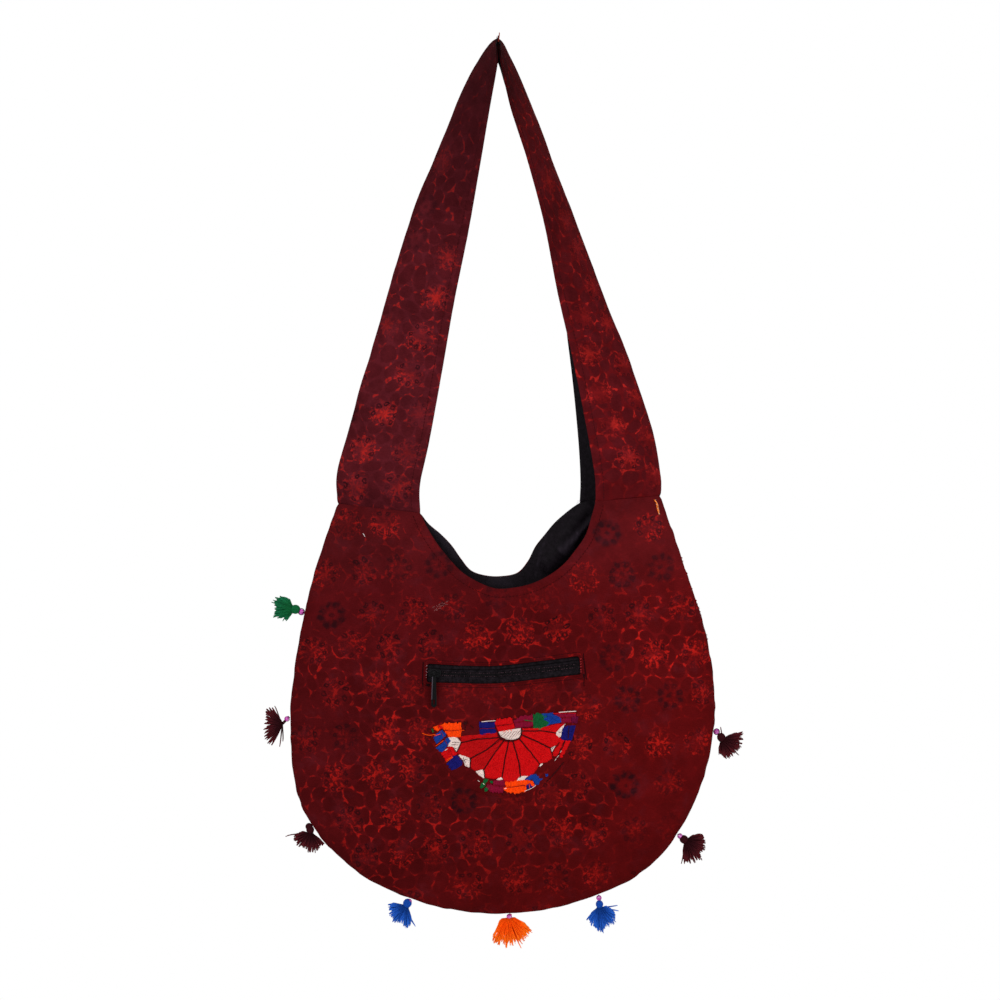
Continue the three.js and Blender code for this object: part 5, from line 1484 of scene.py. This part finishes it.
# ---------------------------------------------------------------- tassels
# colour, tip colour, slot, knot (centre, radius) or None, the waist's two ends, the skirt's tips in order, stray threads;
# places as seen from the front
GREEN, MAROON, BLUE, ORANGE = lin(20, 96, 54), lin(54, 17, 23), lin(27, 78, 174), lin(255, 84, 8)
GREEN_TIP, MAROON_TIP, BLUE_TIP, ORANGE_TIP = lin(26, 104, 68), lin(86, 27, 33), lin(42, 98, 196), lin(255, 120, 26)
# painted shade: how dark a skirt is at its waist; and how much its threads gather into locks
WAIST_SHADE = {"tassel_green": 0.9, "tassel_maroon": 0.5, "tassel_blue": 0.5, "tassel_orange": 0.94}
GATHER = (0.05, 0.45, 0.15, 0.15, 0.05, 0.2, 0.15, 0.15)
TASSELS = [
    (GREEN, GREEN_TIP, "tassel_green", ((295.4, 609.3), 4.6), ((292, 605), (292, 613.4)),
     [(290, 599), (285.4, 597), (279, 595.4), (274.3, 598), (275, 603.5), (275.6, 609), (274, 617), (278, 618), (283, 618), (286, 621), (289, 617.5)],
     [(271.6, 602), (282.6, 621.2), (273, 600)]),
    (MAROON, MAROON_TIP, "tassel_maroon", None, ((282.5, 722.6), (282.5, 725)),
     [(272.4, 705), (266.8, 709.6), (264.9, 720.9), (264.3, 734), (265.5, 740), (270, 744), (273.6, 745.4)],
     [(279.7, 746.7), (282.9, 741.5), (274.5, 706)]),
    (MAROON, MAROON_TIP, "tassel_maroon", ((310.2, 829.8), 3.9), ((307.6, 832.8), (313.2, 833.8)),
     [(302.7, 831), (298, 832.4), (293.2, 836), (293.4, 839.4), (296.4, 844.6), (300, 846.5), (303, 849.4), (307, 850.6), (310.5, 852.4), (315, 851.6), (319, 849), (322.2, 846), (324, 843.4), (319.6, 838.5)],
     [(285.5, 836.7), (315.4, 852.8)]),
    (BLUE, BLUE_TIP, "tassel_blue", ((407.4, 903.2), 4.3), ((403.4, 904.8), (408.4, 908.4)),
     [(394, 902.6), (388.1, 904.6), (389.4, 913.5), (393.3, 921.6), (399.5, 923.8), (402.6, 926.2), (406.8, 926.8), (409.6, 925.8), (412.4, 921.8), (409.6, 913)],
     [(415.4, 926.6), (414.6, 924.5), (388.2, 907)]),
    (ORANGE, ORANGE_TIP, "tassel_orange", None, ((502.2, 918.4), (514.6, 917.4)),
     [(499.4, 920.6), (495.2, 931.5), (492, 937.4), (493.6, 941), (500.3, 944.3), (505.5, 945.8), (509, 945.2), (513.4, 943.4), (519, 941), (525, 939.8), (529.2, 937), (531.8, 932), (529.6, 928.4), (525.5, 923.4), (517.4, 921)],
     [(521.3, 948), (522.6, 944)]),
    (BLUE, BLUE_TIP, "tassel_blue", ((599.5, 904.2), 3.7), ((597, 908), (602.6, 907.4)),
     [(591, 913.6), (586, 920.3), (591.8, 925.6), (595.5, 928.6), (599.2, 930.4), (603.2, 930.6), (606, 925), (611, 926), (614.4, 925), (616.3, 917), (612.8, 909), (606.4, 905.4)],
     [(603.4, 933), (618.7, 910.8), (617.6, 905.6), (616, 922)]),
    (MAROON, MAROON_TIP, "tassel_maroon", ((684.0, 839.4), 4.2), ((688, 838.4), (684, 843.6)),
     [(692.6, 834.9), (701.6, 833.6), (705.2, 838.2), (705.2, 844.5), (704.8, 849.6), (701.8, 855), (700.8, 859.2), (697.8, 860.4), (694.4, 861.6), (691, 861.6), (688, 863.4), (684.6, 864.6), (683, 856), (683, 850)],
     [(681.4, 864), (705.3, 840), (702, 834.4)]),
    (MAROON, MAROON_TIP, "tassel_maroon", ((721.3, 737.4), 4.2), ((724.8, 737.6), (720.2, 742.4)),
     [(728, 735.2), (735.5, 732.7), (743.4, 731.8), (743.2, 735.4), (741.2, 743.6), (738.8, 748.6), (734.8, 754), (729.8, 758), (724.4, 759), (721.4, 756), (718.9, 754.6), (718.7, 748)],
     [(739, 755.3), (741.6, 747), (720.4, 726.8)]),
]
for i, (colour, tip_colour, slot_name, knot, waist, tips, stray) in enumerate(TASSELS):
    rng = np.random.default_rng(50 + i if i else 93)
    heap = Heap()
    bx, bz, turn = BEADS[i]
    bead = np.array([bx, 0.0, bz])
    flat3 = lambda q: np.stack([np.asarray(q)[..., 0], np.zeros(np.shape(q)[:-1]), np.asarray(q)[..., 1]], -1)
    waist_ends = flat3(np.array([from_view(*q) for q in waist]))
    waist3 = waist_ends.mean(0)
    tip2 = np.array([from_view(*q) for q in tips])
    run = np.concatenate([[0], np.cumsum(np.hypot(*np.diff(tip2, axis=0).T))])
    n = 420 if i == 4 else 340
    share = (np.arange(n) + rng.uniform(0, 1, n)) / n
    # the threads hang together in locks of their own length
    locks = max(9, int(run[-1] / 2.3))
    heart = (np.arange(locks) + 0.5 + rng.uniform(-0.35, 0.35, locks)) / locks
    own = np.abs(share[:, None] - heart[None]).argmin(1)
    to = (share + (GATHER[i] + 0.4 * rng.uniform(0, 1, locks))[own] * (heart[own] - share)) * run[-1]
    end = flat3(np.stack([np.interp(to, run, tip2[:, 0]), np.interp(to, run, tip2[:, 1])], -1))
    start = waist_ends[0] + (waist_ends[1] - waist_ends[0]) * np.clip(share + rng.normal(0, 0.06, n), 0, 1)[:, None]
    size = np.linalg.norm(end - waist3, axis=1)
    reach = (1.05 - 0.19 * rng.uniform(0, 1, locks) ** 1.5)[own] * (1.0 - 0.16 * rng.beta(1.0, 4.0, n))
    end = start + (end - start) * reach[:, None]
    # the skirt is round: its threads stand out to the front and to the back as well
    depth = np.where(rng.uniform(0, 1, n) < 0.5, -1, 1) * (1 - 0.45 * rng.uniform(0, 1, n) ** 2) * np.sin(np.pi * np.clip(share, 0.1, 0.9))
    end[:, 1] = depth * 0.36 * size
    start[:, 1] = depth * 1.5
    for px, py in stray:
        q = from_view(px, py)
        end = np.concatenate([end, [[q[0], rng.uniform(-2, 2), q[1]]]])
        start = np.concatenate([start, [waist3]])
    n = len(end)
    k = np.linspace(0, 1, 8)[None, :, None]
    length = np.linalg.norm(end - start, axis=1)[:, None, None]
    axis = unit(end.mean(0) - waist3)
    c1 = start[:, None] + (end - start)[:, None] * 0.36 + axis * length * 0.04 + rng.normal(0, 0.035, (n, 1, 3)) * length
    c1[:, 0, 1] *= 1.6
    c2 = end[:, None] - (end - start)[:, None] * 0.30 + rng.normal(0, 0.045, (n, 1, 3)) * length
    pts = (1 - k) ** 3 * start[:, None] + 3 * (1 - k) ** 2 * k * c1 + 3 * (1 - k) * k * k * c2 + k ** 3 * end[:, None]
    # painted shade, darkest at the waist, lighter towards the tips
    shade = WAIST_SHADE[slot_name] + (1.04 - WAIST_SHADE[slot_name]) * np.array([0, 0.12, 0.34, 0.6, 0.82, 0.94, 1.0, 1.0])
    shade = shade[None, :] * rng.uniform(0.9, 1.14, (n, 1))
    to_tip = np.array([0, 0, 0, 0.1, 0.3, 0.6, 0.9, 1.0])[None, :, None]
    tint = (np.array(colour) * (1 - to_tip) + np.array(tip_colour) * to_tip) * shade[..., None]
    tint[..., 3] = 1
    taper = np.array([1.0, 1.05, 1.1, 1.1, 1.05, 1.0, 0.92, 0.6])[None, :] * np.where(np.arange(n) < n - len(stray), 1.0, 1.6)[:, None]
    heap.tubes(pts, (0, 1, 0.02), 0.37 * taper, 0.37 * taper, tint, 5)
    ax = unit(waist3 - bead)
    if knot:
        c2d, r = from_view(*knot[0]), knot[1] * PX
        centre = np.array([c2d[0], 0.0, c2d[1]])
        ax = unit(waist3 - centre)
        e1 = np.array([0.0, 1.0, 0.0])
        e2 = np.cross(ax, e1)
        m = 34
        th = np.linspace(0, 2 * math.pi, m, endpoint=False) + rng.uniform(-0.05, 0.05, m)
        ph = np.linspace(-1.35, 1.25, 9)
        ring = e1[None, :] * np.cos(th)[:, None] + e2[None, :] * np.sin(th)[:, None]
        rr = (r - 0.35) * np.cos(ph)
        pts = centre + ring[:, None] * rr[None, :, None] + ax * (r * np.sin(ph))[None, :, None]
        tint = np.array(colour)[None, :] * rng.uniform(0.85, 1.1, (m, 1))
        tint[:, 3] = 1
        heap.tubes(pts, np.repeat(ring[:, None], 9, 1), 0.46, 0.42, tint, 5)
        # wound tie at the waist
        half_w = 0.5 * np.linalg.norm(waist_ends[1] - waist_ends[0])
        for lift in (-0.5, 0.2):
            a = np.linspace(0, 2 * math.pi, 19)
            loop = waist3 + ax * lift + e1 * np.cos(a)[:, None] * 2.0 + e2 * np.sin(a)[:, None] * half_w
            heap.tubes(loop[None], ax, 0.36, 0.36, np.array(colour) * (0.7, 0.7, 0.7, 1), 5)
        if i == 2:
            # this knot's yarn is drawn over the bead as well
            over = unit(bead - centre)
            f2 = np.cross(over, e1)
            th = np.linspace(0, 2 * math.pi, 26, endpoint=False)
            ring = e1[None, :] * np.cos(th)[:, None] + f2[None, :] * np.sin(th)[:, None]
            ph = np.linspace(-0.7, 1.5, 9)
            pts = bead + (ring[:, None] * np.cos(ph)[None, :, None] + over * np.sin(ph)[None, :, None]) * 3.1
            heap.tubes(pts, np.repeat(ring[:, None], 9, 1), 0.44, 0.4, np.array(colour), 5)
        tail = centre - unit(centre - bead) * r * 0.8
    else:
        tail = waist3
    # the thread that runs from the knot through the bead into the seam
    inward = unit(bead - tail)
    stem = np.stack([tail, bead + (tail - bead) * 0.55, bead, bead + inward * 2.9])
    heap.tubes(stem[None], (0, 1, 0.02), 0.62 if knot else 1.5, 0.62, np.array(colour) * (0.85, 0.85, 0.85, 1), 6)
    if i in (0, 7):
        # a dark thread wound round the bead
        a = np.linspace(0.5, 2 * math.pi - 0.2, 22) + math.radians(turn)
        loop = bead + np.stack([np.cos(a), 0.12 * np.sin(2 * a), np.sin(a)], -1) * 3.02
        if i == 7:
            a = np.linspace(0, 2 * math.pi, 25)
            loop = bead + np.stack([np.cos(a) * 2.8, np.full(25, -0.8), np.sin(a) * 2.8], -1)
        heap.tubes(loop[None], (0, 1, 0.02), 0.42, 0.36, np.array(MAROON), 6)
    heap.build(f"tassel_yarn_{i + 1}", YARN, node=f"tassel_{i + 1}", slot=slot_name)

# ---------------------------------------------------------------- loose ends
loose = Heap()
loose_rng = np.random.default_rng(77)


def strand(colour, places, radius=0.22, lift=0.5):
    """A short loose thread on the front face, through places seen from the front."""
    q = np.array([from_view(a, b, -23) for a, b in places])
    run = np.concatenate([[0], np.cumsum(np.hypot(*np.diff(q, axis=0).T))])
    at = np.linspace(0, run[-1], 8)
    x, z = np.interp(at, run, q[:, 0]), np.interp(at, run, q[:, 1])
    p, nn = on_front(x, z, lift)
    loose.tubes(p[None], nn[None], radius, radius, np.array(colour), 5)


strand(lin(255, 84, 6), [(422, 733), (425, 734.5), (430, 735.5), (434, 734.5), (439, 735)], 0.3, 0.6)
for a in np.linspace(664.5, 678, 7):
    strand(lin(*([186, 150, 160] if loose_rng.random() < 0.4 else [160, 60, 70])),
           [(426.1 + loose_rng.uniform(-0.4, 0.3), a), (426.9 + loose_rng.uniform(-0.4, 0.4), a + loose_rng.uniform(-1.6, 1.6))], 0.13, 0.8)
for a in np.linspace(659, 672, 6):
    strand(lin(200, 60, 66), [(580.2, a), (581.4, a + loose_rng.uniform(-0.6, 0.8))], 0.24, 0.8)
strand(lin(36, 8, 14), [(422.6, 683.5), (422.2, 685), (423.0, 686.5)], 0.5, 0.3)
strand(lin(36, 8, 14), [(584, 674.5), (584.6, 678), (583.6, 682), (584.2, 686)], 0.25, 0.4)
for k in range(5):
    strand(lin(24, 9, 12), [(583 + 0.2 * k, 674.2 + k * 0.8), (584.8 - 0.1 * k, 674.8 + k * 0.8)], 0.45, 0.2)
    strand(lin(26, 8, 11), [(425.8 + 0.2 * k, 684.0 + k * 0.45), (430.2 - 0.3 * k, 684.6 + k * 0.45)], 0.3, 0.2)


def strand_over(grid, nrm, colour, places, radius, lift):
    """A loose thread over any face: places seen from the front."""
    f = PX * (3000 + grid[..., 1]) / 3000
    gx, gy = 500 + (grid[..., 0] - 1.9) / f, 500 - (grid[..., 2] + 433.96) / f
    places = np.asarray(places, float)
    run = np.concatenate([[0], np.cumsum(np.hypot(*np.diff(places, axis=0).T))])
    at = np.linspace(0, run[-1], 7)
    pts, nn = [], []
    for a, b in zip(np.interp(at, run, places[:, 0]), np.interp(at, run, places[:, 1])):
        d = (gx - a) ** 2 + (gy - b) ** 2
        near = np.argpartition(d.ravel(), 4)[:4]
        w = 1 / (d.ravel()[near] + 0.05)
        y = float((grid[..., 1].ravel()[near] * w).sum() / w.sum())
        x, z = from_view(a, b, y)
        n = unit((nrm.reshape(-1, 3)[near] * w[:, None]).sum(0))
        pts.append(np.array([x, y, z]) + n * lift)
        nn.append(n)
    loose.tubes(np.array(pts)[None], np.array(nn)[None], radius, radius, np.array(colour), 5)


strap_back = strap_p[:, mid:]
# bright orange sewing at the right end of the strap's seam, paler along it with painted glints; lint on the cloth
for k, tint in enumerate(((250, 118, 40), (255, 158, 72), (244, 166, 116))):
    strand_over(front_p, front_n, lin(*tint), [(653.9 + 0.7 * k, 499.6 + 0.5 * k), (656.2 + 0.6 * k, 503.6), (656.6 + 0.7 * k, 507.5),
                                               (657.4 + 0.6 * k, 510.4), (658.2 + 0.4 * k, 513.2 + 0.9 * k)], (0.3, 0.34, 0.26)[k], 0.35)
# pale flecks on the sewing: painted glints, between dark flecks
for k in range(7):
    a, b = 654.4 + 0.68 * k + loose_rng.uniform(-0.3, 0.5), 500.2 + 2.1 * k + loose_rng.uniform(-0.6, 0.6)
    strand_over(front_p, front_n, lin(*((240, 214, 200), (96, 26, 26))[k % 2]), [(a, b), (a + 0.7, b + loose_rng.uniform(0.1, 0.7))], 0.2, 0.68)
strand_over(front_p, front_n, lin(225, 215, 214), [(363, 533.6), (364.2, 535), (364.8, 536.6)], 0.3, 0.3)
for k in range(26):
    a, b = 433 + 0.5 * k + loose_rng.uniform(-1.6, 1.6), 609.5 - 0.3 * k + loose_rng.uniform(-2.4, 2.4)
    strand_over(front_p, front_n, lin(150, 96, 96), [(a, b), (a + loose_rng.uniform(0.8, 2.6), b - loose_rng.uniform(-0.4, 1.4))], 0.13, 0.2)
for k in range(6):
    a, b = 577.6 + loose_rng.uniform(-1.6, 1.4), 503.6 + loose_rng.uniform(-1.6, 1.8)
    strand_over(strap_back, -strap_n[:, mid:], lin(150, 120, 150), [(a, b), (a + loose_rng.uniform(-1.6, 1.6), b + loose_rng.uniform(-1.2, 1.2))], 0.14, 3.6)
# frayed ends along the side seams
for k in np.linspace(0, len(PANEL_S) - 1, 900):
    base = front_p[int(k), 0]
    right = base[0] > 0
    seen = 500 - (base[2] + 433.96) / (PX * (3000 + base[1]) / 3000)
    if not 553 < seen < 640 or not right or loose_rng.random() > 0.9 * np.clip(NOISE[3](seen / 3.1, 4.0) * 2.4 - 0.5, 0, 1):
        continue
    out = np.array([1.0 if right else -1.0, 0.0, loose_rng.uniform(-0.9, 0.9)])
    w = np.linspace(0, 1, 5)[:, None]
    tip = base + out * loose_rng.uniform(0.5, 1.2) + (0, loose_rng.uniform(-0.8, 0.8), 0)
    pts = base * (1 - w) + tip * w + np.sin(np.pi * w) * loose_rng.uniform(-0.4, 0.4) * np.array([[0, 0, 1.0]])
    loose.tubes(pts[None], (0, -1, 0.02), 0.34, 0.3, lin(150, 22, 22) if loose_rng.random() < 0.75 else lin(70, 12, 16), 5)
# frayed threads at the apex
for k in range(12):
    x = loose_rng.uniform(-1.2, 1.0)
    top = np.array([x * 1.5 + 0.5, -59.6 + loose_rng.uniform(-0.8, 0.8), loose_rng.uniform(-4.2, -1.0) + (2.6 if x > 0.1 else 0)])
    base = np.array([x * 0.6, -59.2, -8.2])
    bent = (top + base) / 2 + (loose_rng.uniform(-0.5, 0.5), 0, 0)
    w = np.linspace(0, 1, 6)[:, None]
    pts = (1 - w) ** 2 * base + 2 * w * (1 - w) * bent + w * w * top
    loose.tubes(pts[None], (0, -1, 0.02), 0.26, 0.26, lin(150, 52, 40) if x > 0.1 else lin(44, 13, 18), 5)
loose.build("loose_threads", SEWING, slot="printed_cotton")

# ---------------------------------------------------------------- camera, floor and light
scene = bpy.context.scene
cam_data = bpy.data.cameras.new("camera")
cam_data.sensor_width = 36
cam_data.lens = 36 * 3000 / 950
cam_data.clip_end = 50
camera = bpy.data.objects.new("camera", cam_data)
camera.location = (0.0019, -3.0, -0.43396)
camera.rotation_euler = (math.radians(90), 0, 0)
scene.collection.objects.link(camera)
scene.camera = camera
scene.view_settings.view_transform = "Standard"

floor_me = bpy.data.meshes.new("floor")
floor_me.from_pydata([(-2.6, -2.6, -1.4), (2.6, -2.6, -1.4), (2.6, 2.6, -1.4), (-2.6, 2.6, -1.4)], [], [[0, 1, 2, 3]])
floor_mat = Mat("pale_floor")
floor_mat.set(Base_Color=(0.93, 0.93, 0.93, 1.0), Roughness=0.9)
floor_me.materials.append(floor_mat.mat)
floor = bpy.data.objects.new("floor", floor_me)
scene.collection.objects.link(floor)

world = bpy.data.worlds.new("studio")
scene.world = world
world.use_nodes = True
wt = world.node_tree
wt.nodes.clear()
wo = wt.nodes.new("ShaderNodeOutputWorld")
sky = wt.nodes.new("ShaderNodeBackground")
sky.inputs[0].default_value = (1, 1, 1, 1)
sky.inputs[1].default_value = 1.0
soft = wt.nodes.new("ShaderNodeBackground")
soft.inputs[0].default_value = (1, 1, 1, 1)
soft.inputs[1].default_value = 0.5
ray = wt.nodes.new("ShaderNodeLightPath")
mixw = wt.nodes.new("ShaderNodeMixShader")
wt.links.new(ray.outputs["Is Camera Ray"], mixw.inputs[0])
wt.links.new(soft.outputs[0], mixw.inputs[1])
wt.links.new(sky.outputs[0], mixw.inputs[2])
wt.links.new(mixw.outputs[0], wo.inputs[0])


def area_light(name, at, towards, size, power, colour=(1, 1, 1)):
    li = bpy.data.lights.new(name, "AREA")
    li.shape, li.size, li.size_y, li.energy, li.color = "RECTANGLE", size[0], size[1], power, colour
    ob = bpy.data.objects.new(name, li)
    ob.location = at
    d = mathutils.Vector(towards) - mathutils.Vector(at)
    ob.rotation_euler = d.to_track_quat("-Z", "Y").to_euler()
    scene.collection.objects.link(ob)


area_light("key", (-1.5, -2.2, 0.5), (0, 0, -0.45), (1.4, 1.4), 26)
area_light("fill", (1.7, -2.0, -0.2), (0, 0, -0.5), (1.6, 1.8), 20)
area_light("top", (0.2, -0.4, 1.6), (0, 0, -0.4), (1.6, 1.2), 9)
